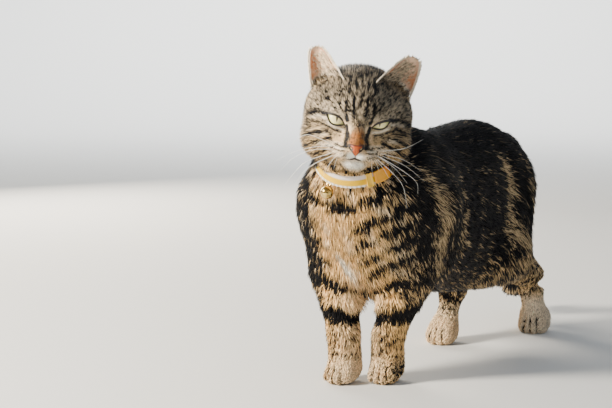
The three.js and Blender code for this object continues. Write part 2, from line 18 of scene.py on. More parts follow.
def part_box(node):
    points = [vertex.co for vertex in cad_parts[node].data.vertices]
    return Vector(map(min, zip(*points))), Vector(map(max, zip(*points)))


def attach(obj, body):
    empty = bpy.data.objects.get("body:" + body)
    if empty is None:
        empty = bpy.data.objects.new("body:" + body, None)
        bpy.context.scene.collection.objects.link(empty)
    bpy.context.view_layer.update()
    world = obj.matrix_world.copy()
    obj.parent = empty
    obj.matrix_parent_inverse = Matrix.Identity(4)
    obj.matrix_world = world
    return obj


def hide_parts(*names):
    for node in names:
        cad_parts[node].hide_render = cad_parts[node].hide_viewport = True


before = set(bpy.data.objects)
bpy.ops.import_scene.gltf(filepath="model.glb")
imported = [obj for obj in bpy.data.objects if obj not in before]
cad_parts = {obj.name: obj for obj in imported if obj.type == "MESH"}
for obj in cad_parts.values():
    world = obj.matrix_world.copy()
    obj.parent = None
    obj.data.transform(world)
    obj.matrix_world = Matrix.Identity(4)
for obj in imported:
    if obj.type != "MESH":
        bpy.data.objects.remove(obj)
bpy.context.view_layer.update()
MM = 0.001
SIDES = {"left": 1, "right": -1}

# %% Helpers for adding and editing
def added(make, **settings):
    """The object that an operator adds."""
    bpy.ops.object.select_all(action="DESELECT")
    make(**settings)
    return bpy.context.object


def only(*pieces):
    """Selects these pieces and nothing else; the first one is active."""
    bpy.ops.object.select_all(action="DESELECT")
    for piece in pieces:
        piece.select_set(True)
    bpy.context.view_layer.objects.active = pieces[0]


def choose(piece, part, chosen):
    """Selects only the chosen faces or edges of a piece."""
    only(piece)
    bpy.ops.object.mode_set(mode="EDIT")
    bpy.ops.mesh.select_mode(type=part)
    bpy.ops.mesh.select_all(action="DESELECT")
    bpy.ops.object.mode_set(mode="OBJECT")
    parts = {"FACE": piece.data.polygons, "EDGE": piece.data.edges}[part]
    parts.foreach_set("select", chosen)


def edit(piece, step, whole=True, **settings):
    """One step in edit mode, on the whole piece or on what is chosen on it."""
    only(piece)
    bpy.ops.object.mode_set(mode="EDIT")
    if whole:
        bpy.ops.mesh.select_all(action="SELECT")
    step(**settings)
    bpy.ops.object.mode_set(mode="OBJECT")


def apply_modifier(piece, kind, **settings):
    only(piece)
    modifier = piece.modifiers.new(kind.lower(), kind)
    for name, value in settings.items():
        setattr(modifier, name, value)
    bpy.ops.object.modifier_apply(modifier=modifier.name)


# %% [markdown]
# ## Camera, floor and light
#
# The camera stands a little above the cat's ears, a metre and a half away, and looks slightly
# down. A long lens keeps the head and the hind legs in proportion. The floor is a pale plain
# sheet that bends up into a wall. Four soft lamps light the cat as in a studio: a warm key and a
# warm rim from its right, a weak fill from its left, and a broad cool one from above. A fifth
# lights the wall.

# %% Camera
CAMERA_TURN = 32  # degrees round the cat from straight in front
CAMERA_DROP = 7  # degrees below level
camera = added(
    bpy.ops.object.camera_add,
    location=(0.7448, -1.4435, 0.350),
    rotation=(math.radians(90 - CAMERA_DROP), 0, math.radians(CAMERA_TURN)),
)
camera.name = "camera"
camera.data.sensor_width = 36
camera.data.lens = 96.2
bpy.context.scene.camera = camera

# %% Floor
FLOOR_SIZE, WALL_HEIGHT, WALL_BEND = 12, 7, 3.2


def plain_material(name, color, roughness):
    """A material with one colour, for what isn't part of the cat."""
    material = bpy.data.materials.new(name)
    material.use_nodes = True
    shader = material.node_tree.nodes["Principled BSDF"]
    shader.inputs["Base Color"].default_value = (*color, 1)
    shader.inputs["Roughness"].default_value = roughness
    return material


floor = added(bpy.ops.mesh.primitive_plane_add, size=FLOOR_SIZE, rotation=(0, 0, math.radians(CAMERA_TURN)))
floor.name = "floor"
bpy.ops.object.transform_apply(location=False, rotation=True, scale=False)
away = Vector((-math.sin(math.radians(CAMERA_TURN)), math.cos(math.radians(CAMERA_TURN)), 0))


def choose_far_edge():
    """The edge of the floor behind the cat, which is the wall's foot."""
    far = [v.co.z < 1e-4 and v.co.dot(away) > FLOOR_SIZE / 2 - 1 for v in floor.data.vertices]
    choose(floor, "EDGE", [all(far[k] for k in edge.vertices) for edge in floor.data.edges])


choose_far_edge()
upwards = {"value": (0, 0, WALL_HEIGHT)}
edit(floor, bpy.ops.mesh.extrude_region_move, whole=False, TRANSFORM_OT_translate=upwards)
choose_far_edge()
edit(floor, bpy.ops.mesh.bevel, whole=False, offset=WALL_BEND, segments=24, affect="EDGES")
bpy.ops.object.shade_smooth()
floor.data.materials.append(plain_material("backdrop_paper", (0.66, 0.66, 0.64), 0.9))
print("floor:", len(floor.data.polygons), "faces")

# %% Lamps
ON_CAT, ON_WALL = Vector((0, -0.05, 0.15)), Vector((-3.1, 5.0, 1.2))
LAMPS = {  # name: (place, aim, size, watts, colour)
    "key": ((-1.05, -1.40, 0.95), ON_CAT, 0.45, 118, (1.0, 0.92, 0.79)),
    "rim": ((-1.3, 0.7, 0.6), ON_CAT, 0.7, 32, (1.0, 0.90, 0.76)),
    "fill": ((1.8, -1.0, 0.9), ON_CAT, 1.6, 6, (0.90, 0.95, 1.0)),
    "sky": ((0.4, 1.2, 3.2), ON_CAT, 4.5, 32, (0.74, 0.85, 1.0)),
    "wall": ((-1.7, 2.6, 3.0), ON_WALL, 3.0, 420, (0.98, 0.99, 1.0)),
}
for name, (place, aimed_at, size, watts, color) in LAMPS.items():
    aim = (aimed_at - Vector(place)).to_track_quat("-Z", "Y")
    lamp = added(bpy.ops.object.light_add, type="AREA", location=place, rotation=aim.to_euler())
    lamp.name = name
    lamp.data.size, lamp.data.energy, lamp.data.color = size, watts, color

world = bpy.data.worlds.new("studio")
bpy.context.scene.world = world
world.use_nodes = True
background = world.node_tree.nodes["Background"]
background.inputs["Color"].default_value = (0.78, 0.84, 0.92, 1)
background.inputs["Strength"].default_value = 0.26
print("lamps:", list(LAMPS))

# %% [markdown]
# ## The head's own frame
#
# The head is turned to the cat's left and tilted, so its details are placed in a frame of its
# own: x across the face to the cat's left, y from the nose backwards, z up the forehead, in
# millimetres. The eyeballs of the solids fix the frame's place, and three turns give its axes.

# %% Head frame
HEAD_YAW, HEAD_NOD, HEAD_TILT = 31.5, 2, 6.5
EYE_BEFORE, EYE_ABOVE = 25.5, 2.5  # the eyes' centres in the head's frame
head_axes = (
    Matrix.Rotation(math.radians(HEAD_YAW), 3, "Z")
    @ Matrix.Rotation(math.radians(HEAD_NOD), 3, "X")
    @ Matrix.Rotation(math.radians(HEAD_TILT), 3, "Y")
)
eye_centre = {side: sum(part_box(f"eye_{side}"), Vector()) / 2 for side in SIDES}
eye_radius = (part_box("eye_left")[1].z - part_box("eye_left")[0].z) / 2
between_eyes = (eye_centre["left"] + eye_centre["right"]) / 2
head_origin = between_eyes - head_axes @ Vector((0, -EYE_BEFORE, EYE_ABOVE)) * MM
HEAD = np.array(head_axes)


def to_head(points):
    """Points of the cat, in metres, as millimetres in the head's frame."""
    return (np.asarray(points) - np.array(head_origin)) @ HEAD / MM


def from_head(points):
    return np.asarray(points, float) * MM @ HEAD.T + np.array(head_origin)


print("eye radius in mm:", round(eye_radius / MM, 1), "eyes in head:", to_head(eye_centre["left"]).round(1))


# %% [markdown]
# ## The skin
#
# A real cat has one skin, so the parted solids are copied, joined and melted into one surface.
# A voxel remesh does that: it wraps everything in one closed mesh and drops the cuts. Each copy
# is swelled by a hair's breadth first, so that the cuts close. A ball stands in each eye socket,
# because the lids are stretched over the eyeball and only open later.
# Joining with booleans was the other way, but it would keep every facet of the solids.

# %% Helpers for shaping
def points_of(mesh):
    flat = np.empty(len(mesh.vertices) * 3, np.float32)
    mesh.vertices.foreach_get("co", flat)
    return flat.reshape(-1, 3).astype(float)


def normals_of(mesh):
    flat = np.empty(len(mesh.vertices) * 3, np.float32)
    mesh.vertex_normals.foreach_get("vector", flat)
    return flat.reshape(-1, 3).astype(float)


def move_points(mesh, points):
    mesh.vertices.foreach_set("co", np.asarray(points, np.float32).ravel())
    mesh.update()


def edges_of(mesh):
    flat = np.empty(len(mesh.edges) * 2, np.int32)
    mesh.edges.foreach_get("vertices", flat)
    return flat.reshape(-1, 2)


def spread(values, edges, rounds, share=0.5):
    """Evens out values, or places, between neighbouring points of a mesh."""
    n = len(values)
    a, b = edges.T
    count = (np.bincount(a, minlength=n) + np.bincount(b, minlength=n))[:, None]
    share = np.broadcast_to(share, (n,))[:, None]
    for _ in range(rounds):
        total = np.stack([np.bincount(a, v[b], n) + np.bincount(b, v[a], n) for v in values.T], 1)
        values = values + share * (total / count - values)
    return values


def ramp(x, low, high):
    """0 below low, 1 above high, and smooth between; low may be the greater."""
    t = np.clip((x - low) / (high - low), 0, 1)
    return t * t * (3 - 2 * t)


# %% Helpers for meshes made from arrays
def mesh_piece(name, points, faces, smooth=True):
    """A new object from arrays of points and of faces that all have the same number of corners."""
    faces = np.asarray(faces, np.int32)
    mesh = bpy.data.meshes.new(name)
    mesh.vertices.add(len(points))
    mesh.vertices.foreach_set("co", np.asarray(points, np.float32).ravel())
    mesh.loops.add(faces.size)
    mesh.loops.foreach_set("vertex_index", faces.ravel())
    mesh.polygons.add(len(faces))
    mesh.polygons.foreach_set("loop_start", np.arange(0, faces.size, faces.shape[1], dtype=np.int32))
    mesh.polygons.foreach_set("use_smooth", np.full(len(faces), smooth))
    mesh.update(calc_edges=True)
    mesh.validate()
    piece = bpy.data.objects.new(name, mesh)
    bpy.context.scene.collection.objects.link(piece)
    return piece


def strip_faces(rings, corners, closed=False):
    """Triangles that join rings of points, each ring with the same number of corners."""
    faces = []
    for i in range(rings if closed else rings - 1):
        for j in range(corners):
            a, b = i * corners + j, i * corners + (j + 1) % corners
            c, d = (a + corners) % (rings * corners), (b + corners) % (rings * corners)
            faces += [(a, b, d), (a, d, c)]
    return faces


def close_ends(faces, rings, corners):
    """Adds the fans that close rings at both ends; the two last points are the fans' middles."""
    first, last = rings * corners, (rings - 1) * corners
    for j in range(corners):
        k = (j + 1) % corners
        faces += [(first, k, j), (first + 1, last + j, last + k)]
    return faces


def tube_arrays(path, radii, corners=8, closed=False):
    """Points and faces of a round bar along a path. An open bar ends in points."""
    path = np.asarray(path, float)
    n = len(path)
    ahead = np.roll(path, -1, 0) - np.roll(path, 1, 0)
    if not closed:
        ahead[0], ahead[-1] = path[1] - path[0], path[-1] - path[-2]
    ahead /= np.linalg.norm(ahead, axis=1)[:, None]
    side = np.cross(ahead[0], [0.3, 0.2, 0.93])
    rings = []
    for k in range(n):
        side = side - ahead[k] * (side @ ahead[k])
        side /= np.linalg.norm(side)
        up = np.cross(ahead[k], side)
        angle = np.arange(corners) * 2 * np.pi / corners
        ring = np.outer(np.cos(angle), side * radii[k]) + np.outer(np.sin(angle), up * radii[k])
        rings.append(path[k] + ring)
    points = np.concatenate(rings)
    faces = strip_faces(n, corners, closed)
    if not closed:
        ends = [path[0] - ahead[0] * radii[0], path[-1] + ahead[-1] * radii[-1]]
        points = np.concatenate([points, ends])
        faces = close_ends(faces, n, corners)
    return points, faces


def join_arrays(parts):
    """Several (points, faces) as one."""
    starts = np.cumsum([0] + [len(points) for points, _ in parts])
    return (
        np.concatenate([points for points, _ in parts]),
        np.concatenate([np.asarray(faces) + start for (_, faces), start in zip(parts, starts)]),
    )


# %% Copies of the flesh, melted into one skin
SWELL = 0.4 * MM  # closes the cuts between the solids
LID = 1.0 * MM  # thickness of the eyelids
VOXEL = 2.25 * MM
LEG_PARTS = ("shoulder", "foreleg", "forepaw", "thigh", "hindleg", "hindpaw")
FLESH = ["head", "nose", "neck", "chest", "belly", "rump", "tail_base", "tail_tip"]
FLESH += [f"{part}_{side}" for side in SIDES for part in LEG_PARTS]
KINDS = np.array([node.split("_")[0] for node in FLESH])
EARS = ["ear_left", "ear_right"]


def flesh_copy(node):
    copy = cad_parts[node].copy()
    copy.data = copy.data.copy()
    copy.parent = None
    bpy.context.scene.collection.objects.link(copy)
    edit(copy, bpy.ops.mesh.remove_doubles, threshold=1e-6)
    move_points(copy.data, points_of(copy.data) + normals_of(copy.data) * SWELL)
    return copy


def surface_of(piece):
    """A piece's faces, ready for finding the nearest of them."""
    mesh = piece.data
    return BVHTree.FromPolygons([v.co for v in mesh.vertices], [tuple(p.vertices) for p in mesh.polygons])


def balls_in_eyes(segments, radius):
    """A ball round the middle of each eye."""
    make = bpy.ops.mesh.primitive_uv_sphere_add
    return [
        added(make, segments=segments, ring_count=segments // 2, radius=radius, location=eye_centre[side])
        for side in SIDES
    ]


copies = [flesh_copy(node) for node in FLESH]
surfaces = [surface_of(copy) for copy in copies]
copies += balls_in_eyes(32, eye_radius + LID)
only(*copies)
bpy.ops.object.join()
skin = bpy.context.object
skin.name = "skin"
skin.data.materials.clear()
apply_modifier(skin, "REMESH", mode="VOXEL", voxel_size=VOXEL, use_smooth_shade=True)
print("skin after melting:", len(skin.data.polygons), "faces")

# %% [markdown]
# ## Which part of the body each point of the skin belongs to
#
# Hair is long on the breast and short on the face, and it is combed from the nose backwards and
# down the legs. So each point of the skin first learns which solid it came from. The values that
# follow from that are then evened out over the skin, so that no border shows.


# %% Parts of the skin
def nearest_part(points):
    """For each point, the index in FLESH of the solid whose surface is nearest."""
    best = np.full(len(points), 1e9)
    part = np.zeros(len(points), int)
    lows = np.array([np.array(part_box(node)[0]) for node in FLESH]) - 0.008
    highs = np.array([np.array(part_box(node)[1]) for node in FLESH]) + 0.008
    for i, surface in enumerate(surfaces):
        near = np.flatnonzero(((points > lows[i]) & (points < highs[i])).all(1))
        for k in near:
            distance = surface.find_nearest(points[k])[3]
            if distance < best[k]:
                best[k], part[k] = distance, i
    return part


places = points_of(skin.data)
edges = edges_of(skin.data)
kind_of = KINDS[nearest_part(places)]
print({kind: int((kind_of == kind).sum()) for kind in np.unique(kind_of)})

# %% The coat's length, lift and depth for each part
COAT = {  # part: (hair length mm, lift degrees, depth of the skin inside the solids mm)
    "head": (6.0, 20, 2.2),
    "nose": (1.0, 8, 0.4),
    "neck": (14, 24, 5.5),
    "chest": (16, 23, 6.2),
    "belly": (16, 22, 6.2),
    "rump": (15, 20, 5.5),
    "tail": (14, 26, 5.0),
    "shoulder": (14, 24, 5.5),
    "foreleg": (9, 26, 3.4),
    "forepaw": (4.5, 18, 1.4),
    "thigh": (15, 22, 5.0),
    "hindleg": (6.5, 20, 1.6),
    "hindpaw": (4.5, 18, 1.4),
}
SMOOTHING = {"nose": 0.2, "head": 0.35, "forepaw": 0.3, "hindpaw": 0.3}
table = np.array([COAT[kind] for kind in kind_of], float)
softness = spread(np.array([[SMOOTHING.get(kind, 0.5)] for kind in kind_of]), edges, 6)[:, 0]
table = spread(table, edges, 14)
hock = ramp(places[:, 2] / MM, 125, 85) * ramp(places[:, 1] / MM, 90, 110) * (kind_of != "belly")
table[:, 2] = table[:, 2] * (1 - hock) + 0.8 * hock
softness *= 1 - 0.75 * hock
places = spread(places, edges, 9, softness)

HOCKS = [(34, 134), (-26, 84)]  # x and y of the middle of each hock
HOCK_REACH = 26  # mm from that middle to either side
HOCK_LOW, HOCK_HIGH, HOCK_STEP = 43, 69, 2  # heights between which its back is drawn out straight
steps = np.arange((HOCK_HIGH - HOCK_LOW) // HOCK_STEP)
for x_at, y_at in HOCKS:
    at = places / MM
    here = (np.abs(at[:, 0] - x_at) < HOCK_REACH) & (at[:, 1] > y_at)
    back = np.flatnonzero(here & (at[:, 2] > HOCK_LOW) & (at[:, 2] < HOCK_HIGH))
    level = np.floor((at[back, 2] - HOCK_LOW) / HOCK_STEP).astype(int)
    reach = np.array([at[back[level == k], 1].max() for k in steps])
    straight = np.interp(steps, steps[[0, -1]], reach[[0, -1]])
    stretch = np.maximum((straight - y_at) / (reach - y_at), 1)
    stretch = np.interp(at[back, 2], HOCK_LOW + HOCK_STEP / 2 + HOCK_STEP * steps, stretch)
    places[back, 1] = (y_at + (at[back, 1] - y_at) * stretch) * MM
at_hock = ramp(places[:, 2] / MM, 41, 46) * ramp(places[:, 2] / MM, 72, 66) * (places[:, 1] > 0.02)
places = spread(places, edges, 8, 0.8 * at_hock)
move_points(skin.data, places)
for _ in range(5):
    places = places - normals_of(skin.data) * table[:, 2:3] * MM / 5
    places = spread(places, edges, 1, softness * 0.4)
    move_points(skin.data, places)
print("skin depth in mm:", table[:, 2].min().round(1), "to", table[:, 2].max().round(1))

# %% [markdown]
# ## The face
#
# The solids give the head's proportions, but a face needs finer forms: the brow, the straight
# bridge of the nose, the two whisker pads, the chin. The skin of the face is first divided
# more finely. Then each of its points is drawn onto a field of round forms that melt into one
# another, which is how a sculptor blocks out a head in balls of clay.

# %% A finer mesh on the front of the head
FACE_LINE = -6  # in the head's frame, the face is what lies before this
FACE_HALF = 46  # mm from its middle to its sides, and down to its lower edge


def face_middles(mesh):
    flat = np.empty(len(mesh.polygons) * 3, np.float32)
    mesh.polygons.foreach_get("center", flat)
    return flat.reshape(-1, 3)


def divide_skin(chosen):
    """Divides the chosen faces of the skin once."""
    choose(skin, "FACE", chosen)
    edit(skin, bpy.ops.mesh.subdivide, whole=False, number_cuts=1, smoothness=0.0)


inside = to_head(face_middles(skin.data))
divide_skin((inside[:, 1] < FACE_LINE) & (np.abs(inside[:, 0]) < FACE_HALF) & (inside[:, 2] > -FACE_HALF))
print("skin with a finer face:", len(skin.data.polygons), "faces")


# %% Round forms of the head
FACE_DEPTH = 1.1  # mm from the tips of the short hair of the face to its skin
EYE_IN_HEAD = to_head(eye_centre["left"])
# The philtrum runs down from the nose, and the mouth outwards from its foot.
LIPS = [(0, -53.5, -23.5), (0, -52.5, -28.5), (3.5, -51.5, -31), (8, -48, -31.5), (12, -43, -32.5)]


def ellipsoid(points, centre, radii):
    """How far outside an ellipsoid each point lies, in mm; negative inside."""
    q = (points - centre) / radii
    k = np.linalg.norm(q, axis=1)
    return k * (k - 1) / np.maximum(np.linalg.norm(q / radii, axis=1), 1e-9)


def limb(points, start, start_radius, end, end_radius):
    """The same for a round bar that tapers."""
    start, end = np.array(start, float), np.array(end, float)
    along = end - start
    t = np.clip((points - start) @ along / (along @ along), 0, 1)
    radius = start_radius + (end_radius - start_radius) * t
    return np.linalg.norm(points - start - t[:, None] * along, axis=1) - radius


def melt(a, b, reach):
    h = np.maximum(reach - np.abs(a - b), 0) / reach
    return np.minimum(a, b) - h * h * reach / 4


def carve(a, b, reach):
    """Takes b away from a, with a soft edge."""
    return -melt(-a, b, reach)


def head_form(points):
    """The head out to the skin, from the skull to the chin, in the head's frame."""
    x, y, z = points.T
    mirrored = np.column_stack([np.abs(x), y, z])
    form = ellipsoid(points, (0, 8, 9), (44, 42, 39))  # cranium
    form = melt(form, ellipsoid(points, (0, -14, 12), (29, 26, 25)), 12)  # forehead
    form = melt(form, ellipsoid(mirrored, (29, 3, 7), (18.5, 25, 19)), 12)  # temples
    form = melt(form, ellipsoid(mirrored, (25, 0, -17), (23, 27, 23)), 12)  # cheeks
    form = melt(form, ellipsoid(points, (0, -12, -27), (24, 26, 16)), 12)  # jaw
    form = melt(form, limb(points, (0, -20, -10), 18, (0, -38, -21), 12), 12)  # muzzle
    form = melt(form, ellipsoid(mirrored, (9.5, -41, -26), (11, 11, 8)), 6)  # whisker pads
    form = melt(form, ellipsoid(points, (0, -37, -35), (9.5, 11, 6.5)), 6)  # chin
    form = melt(form, limb(points, (0, -27, 10), 10.5, (0, -46, -17), 6.5), 5)  # bridge
    form = melt(form, ellipsoid(mirrored, (20, -24, 3), (14, 13, 12)), 5)  # fur round the lids
    lids = np.linalg.norm(mirrored - EYE_IN_HEAD, axis=1) - (eye_radius + LID) / MM - FACE_DEPTH
    form = melt(form, lids, 2)
    form = melt(form, limb(mirrored, (8, -33, 13), 5, (27, -26, 16), 4), 7)  # brow
    form = carve(form, ellipsoid(mirrored, (11.5, -43, -5), (2.6, 5, 5)), 5)  # inner corner
    form = carve(form, ellipsoid(mirrored, (22, -42, -12), (10, 5, 5)), 8)  # under the eye
    for start, end in zip(LIPS[:-1], LIPS[1:]):
        form = carve(form, limb(mirrored, start, 0.8, end, 0.8), 2.5)  # philtrum and mouth
    return form


def settle(points, form, depth):
    """Draws points onto the surface that lies depth inside a form."""
    points, h = points.copy(), 0.05
    for _ in range(5):
        off = form(points) + depth
        slope = np.stack([form(points + step) + depth - off for step in np.eye(3) * h], 1) / h
        points -= slope * (off / np.maximum((slope**2).sum(1), 0.3))[:, None]
    return points


# %% Drawing the face onto the forms
places = points_of(skin.data)
edges = edges_of(skin.data)
kind_of = KINDS[nearest_part(places)]
table = spread(np.array([COAT[kind] for kind in kind_of], float), edges, 14)
face = to_head(places)
on_head = np.isin(kind_of, ["head", "nose"]).astype(float)
on_head = spread(on_head[:, None], edges, 14)[:, 0]
near = np.flatnonzero(on_head > 0.02)
front = ramp(face[near, 1], -18, -34)
face_depth = table[near, 2] * (1 - front) + FACE_DEPTH * front
settled = settle(face[near], head_form, face_depth)
shift = settled - face[near]
shift *= np.minimum(1, 5 / np.maximum(np.linalg.norm(shift, axis=1), 1e-9))[:, None]
face[near] += shift * ramp(on_head[near], 0.5, 0.95)[:, None]
places[near] = from_head(face[near])
places = spread(places, edges, 1, on_head * 0.3)
move_points(skin.data, places)
print("points on the face:", len(near))

# %% [markdown]
# ## Ears
#
# A cat's ear is a thin cup of gristle that stands on the side of the crown. It is too thin for
# the voxels, so it is lofted: crescents, each smaller than the one below, are joined from the
# root to the rounded tip. The root is solid and is welded to the skin by a boolean union, and
# the weld is then evened out.

# %% Ears
EAR_TIP = np.array([43, 4, 59.5])
EAR_BASE = {"left": np.array([26.0, -3.5, 19.0]), "right": np.array([28.5, -2, 19.0])}
EAR_HALF_WIDTH = {"left": 13.4, "right": 12}
EAR_SWEEP = {"left": (14.0, 23.0), "right": (12.0, 20.0)}  # of the inner edge: inwards and forwards
EAR_DEEP, EAR_WALL = 13.4, 1.7
EAR_ROOT = 0.26  # share of the ear's height that is solid
EAR_FACING = {"left": (0.26, -0.95, 0.1), "right": (0.3, -0.93, 0.1)}
MIRROR = {"left": np.array([1, 1, 1]), "right": np.array([-1, 1, 1])}


def ear_frame(side):
    up = EAR_TIP - EAR_BASE[side]
    facing = np.array(EAR_FACING[side]) / np.linalg.norm(EAR_FACING[side])
    wide = np.cross(facing, up)
    wide /= np.linalg.norm(wide)
    back = np.cross(wide, up)
    back *= np.sign(back[1]) / np.linalg.norm(back)
    return up, wide, back


def inner_edge(side, share, t, wide, back):
    """The inner edge of the cup sweeps forwards and inwards, down on to the forehead."""
    sweep = np.clip(share, 0, 1) ** 2 * (1 - t) ** 1.3
    inwards, forwards = EAR_SWEEP[side]
    return np.outer(sweep, inwards * wide - forwards * back - [1.8, 0.8, 5.1])


def ear_arrays(side, rings=30, across=22):
    up, wide, back = ear_frame(side)
    loops = []
    for t in 1 - (1 - np.linspace(0, 1, rings)) ** 2.2:  # closer towards the tip
        centre = EAR_BASE[side] + up * t - back * 4 * t * t
        half = EAR_HALF_WIDTH[side] * max(1 - t**1.5, 0) ** 0.4 + 1.0
        deep = EAR_DEEP * (1 - 0.82 * t)
        opened = ramp(t, EAR_ROOT - 0.14, EAR_ROOT + 0.08)
        hollow = -5 * (1 - opened) + (deep - EAR_WALL * (1 - 0.35 * t)) * opened
        angle = np.radians(np.linspace(-90, 90, across))
        for turn, reach, depth in ((angle, half, deep), (angle[-2:0:-1], half - 0.9, hollow)):
            wall = centre + np.outer(np.sin(turn), wide * reach) + np.outer(np.cos(turn), back * depth)
            loops.append(wall + inner_edge(side, np.sin(turn), t, wide, back))
    corners = len(loops[0]) + len(loops[1])
    points = np.concatenate(loops)
    points = np.concatenate([points, [points[:corners].mean(0), points[-corners:].mean(0)]])
    return from_head(points * MIRROR[side]), close_ends(strip_faces(rings, corners), rings, corners)


def recalculate(piece):
    """Turns the faces of a closed piece outwards."""
    edit(piece, bpy.ops.mesh.normals_make_consistent, inside=False)


def weld(piece, operation, others):
    """A boolean with several pieces that don't touch one another."""
    only(*others)
    bpy.ops.object.join()
    other = bpy.context.object
    apply_modifier(piece, "BOOLEAN", operation=operation, object=other, solver="MANIFOLD")
    bpy.data.objects.remove(other)


ears = [mesh_piece(f"ear_shape_{side}", *ear_arrays(side)) for side in SIDES]
for ear in ears:
    recalculate(ear)
ear_surface = {side: surface_of(ear) for side, ear in zip(SIDES, ears)}
weld(skin, "UNION", ears)


def nearness(points, tree, reach):
    """1 on a surface and 0 at a distance of reach from it."""
    found = [tree.find_nearest(p, reach)[3] for p in points]
    return np.array([0 if d is None else 1 - d / reach for d in found])


places = points_of(skin.data)
edges = edges_of(skin.data)
face = to_head(places)
ear_weight = np.zeros((len(places), 2))
crown = np.flatnonzero((face[:, 2] > 8) & (np.abs(face[:, 0]) > 8))
for i, side in enumerate(SIDES):
    ear_weight[crown, i] = nearness(places[crown], ear_surface[side], 5 * MM)
outside = np.zeros(len(places))
outside[crown] = head_form(face[crown])
on_ear = (ear_weight.max(1) > 0.9) & (outside > 0.5)
seam = ear_weight.max(1) * ramp(outside, 5, 1.5)
places = spread(places, edges, 8, 0.6 * seam)
move_points(skin.data, places)
print("points on the ears:", int(on_ear.sum()))

# %% [markdown]
# ## Eyelids
#
# The skin now covers the eyeballs as closed lids do. Each eye is opened with two boolean cuts:
# a ball takes out the room for the eyeball, and an almond-shaped bar cuts the slit between the
# lids. The cat squints in bright light, so the upper lid is almost straight, the outer corners
# are raised, and the left eye is a little more closed than the right.

# %% Opening the eyes
SLIT = {  # inner and outer corner as x and z in the head's frame, then the rise and fall of the lids
    "left": ((10.4, -2.4), (27.0, 6.2), 1.9, 4.3),
    "right": ((10.8, -2.4), (28.2, 6.4), 3.3, 5.2),
}


def slit(side, count=24):
    """The slit between the lids as x and z in the head's frame, once round."""
    inner, outer, rise, fall = SLIT[side]
    inner, line = np.array(inner), np.array(outer) - inner
    across = np.array([-line[1], line[0]]) / np.linalg.norm(line)
    s = np.linspace(0, 1, count)
    upper = inner + np.outer(s, line) + np.outer(rise * np.sin(np.pi * s**0.9) ** 0.9, across)
    lower = inner + np.outer(s, line) - np.outer(fall * np.sin(np.pi * s**1.25) ** 0.9, across)
    loop = np.concatenate([upper, lower[-2:0:-1]])
    return loop * [SIDES[side], 1]


def slit_bar(side):
    """A bar with the slit's outline that runs forwards out of the eyeball."""
    loop = slit(side)
    n = len(loop)
    back = np.column_stack([loop[:, 0], np.full(n, -EYE_BEFORE - 2.0), loop[:, 1]])
    front = back - [0, 22, 0]
    points = np.concatenate([back, front, [back.mean(0), front.mean(0)]])
    bar = mesh_piece(f"slit_{side}", from_head(points), close_ends(strip_faces(2, n), 2, n))
    recalculate(bar)
    return bar


EYE_GAP = 0.15 * MM  # room between the eyeball and its socket
weld(skin, "DIFFERENCE", balls_in_eyes(48, eye_radius + EYE_GAP))
weld(skin, "DIFFERENCE", [slit_bar(side) for side in SIDES])
print("skin with open eyes:", len(skin.data.polygons), "faces")


# %% [markdown]
# ## Lid margins
#
# The bare edge of a cat's lids is almost black, and it outlines the eye. It is a thin bar that
# follows the slit over the eyeball, thicker along the upper lid.

# %% Lid margins
def over_ball(flat, side, height):
    """Points in front of an eyeball, at a height above it, from x and z in the head's frame."""
    centre = to_head(eye_centre[side])
    offset = flat - centre[[0, 2]]
    radius = eye_radius / MM + height
    y = centre[1] - np.sqrt(np.maximum(radius**2 - (offset**2).sum(1), 4))
    return np.column_stack([flat[:, 0], y, flat[:, 1]])


rims = []
for side in SIDES:
    loop = slit(side)
    thick = np.where(np.arange(len(loop)) < 24, 1.15, 0.75) * MM  # the upper lid's points come first
    rims.append(tube_arrays(from_head(over_ball(loop, side, 0.75)), thick, 8, closed=True))
lid_margins = mesh_piece("lid_margins", *join_arrays(rims))
recalculate(lid_margins)
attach(lid_margins, "root")

# %% [markdown]
# ## Eyes
#
# The eye of a cat in bright light is almost all iris: pale yellow-green with fine spokes, a dark
# edge, and an upright slit for the pupil. The eyeball is one glossy ball. Each of its points
# keeps how far it lies beside, above and before the ball's centre as seen along the gaze, and
# the material draws the rings, spokes and slit from that.

# %% Eyeballs
LOOKS_AT = Vector((0.70, -1.36, 0.33))  # a place ahead of the cat, at its own height


def store(mesh, name, values, kind="FLOAT"):
    """Keeps a value or a colour for each point of a mesh."""
    layer = mesh.attributes.new(name, kind, "POINT")
    field = "color" if kind.endswith("COLOR") else "value"
    layer.data.foreach_set(field, np.asarray(values, np.float32).ravel())


def eye_frame(side):
    """The directions beside, above and along the gaze of an eye."""
    ahead = (LOOKS_AT - eye_centre[side]).normalized()
    beside = Vector(HEAD[:, 2]).cross(ahead).normalized()
    return beside, ahead.cross(beside), ahead


eyeballs = {}
for side in SIDES:
    ball = added(bpy.ops.mesh.primitive_uv_sphere_add, segments=72, ring_count=48, radius=1)
    ball.name = f"eyeball_{side}"
    sphere = points_of(ball.data)
    cornea = 1 + 0.045 * ramp(sphere[:, 2], 0.72, 0.97)
    turn = np.array(eye_frame(side))
    move_points(ball.data, (sphere * cornea[:, None] * eye_radius) @ turn + np.array(eye_centre[side]))
    bpy.ops.object.shade_smooth()
    gaze = np.column_stack([sphere * 0.5 + 0.5, np.ones(len(sphere))])
    store(ball.data, "Gaze", gaze, "FLOAT_COLOR")
    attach(ball, "root")
    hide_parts(f"eye_{side}")
    eyeballs[side] = ball
print("eyeballs:", len(eyeballs["left"].data.polygons), "faces each")

# %% [markdown]
# ## Nose leather and mouth
#
# The bare end of the nose is a small orange-pink wedge, wide above and narrow below, with a
# comma of a nostril on each side. It is modelled as a cap of rings within an outline that lies
# on the face, swells in its middle and dips in the nostrils. The mouth is a dark line.

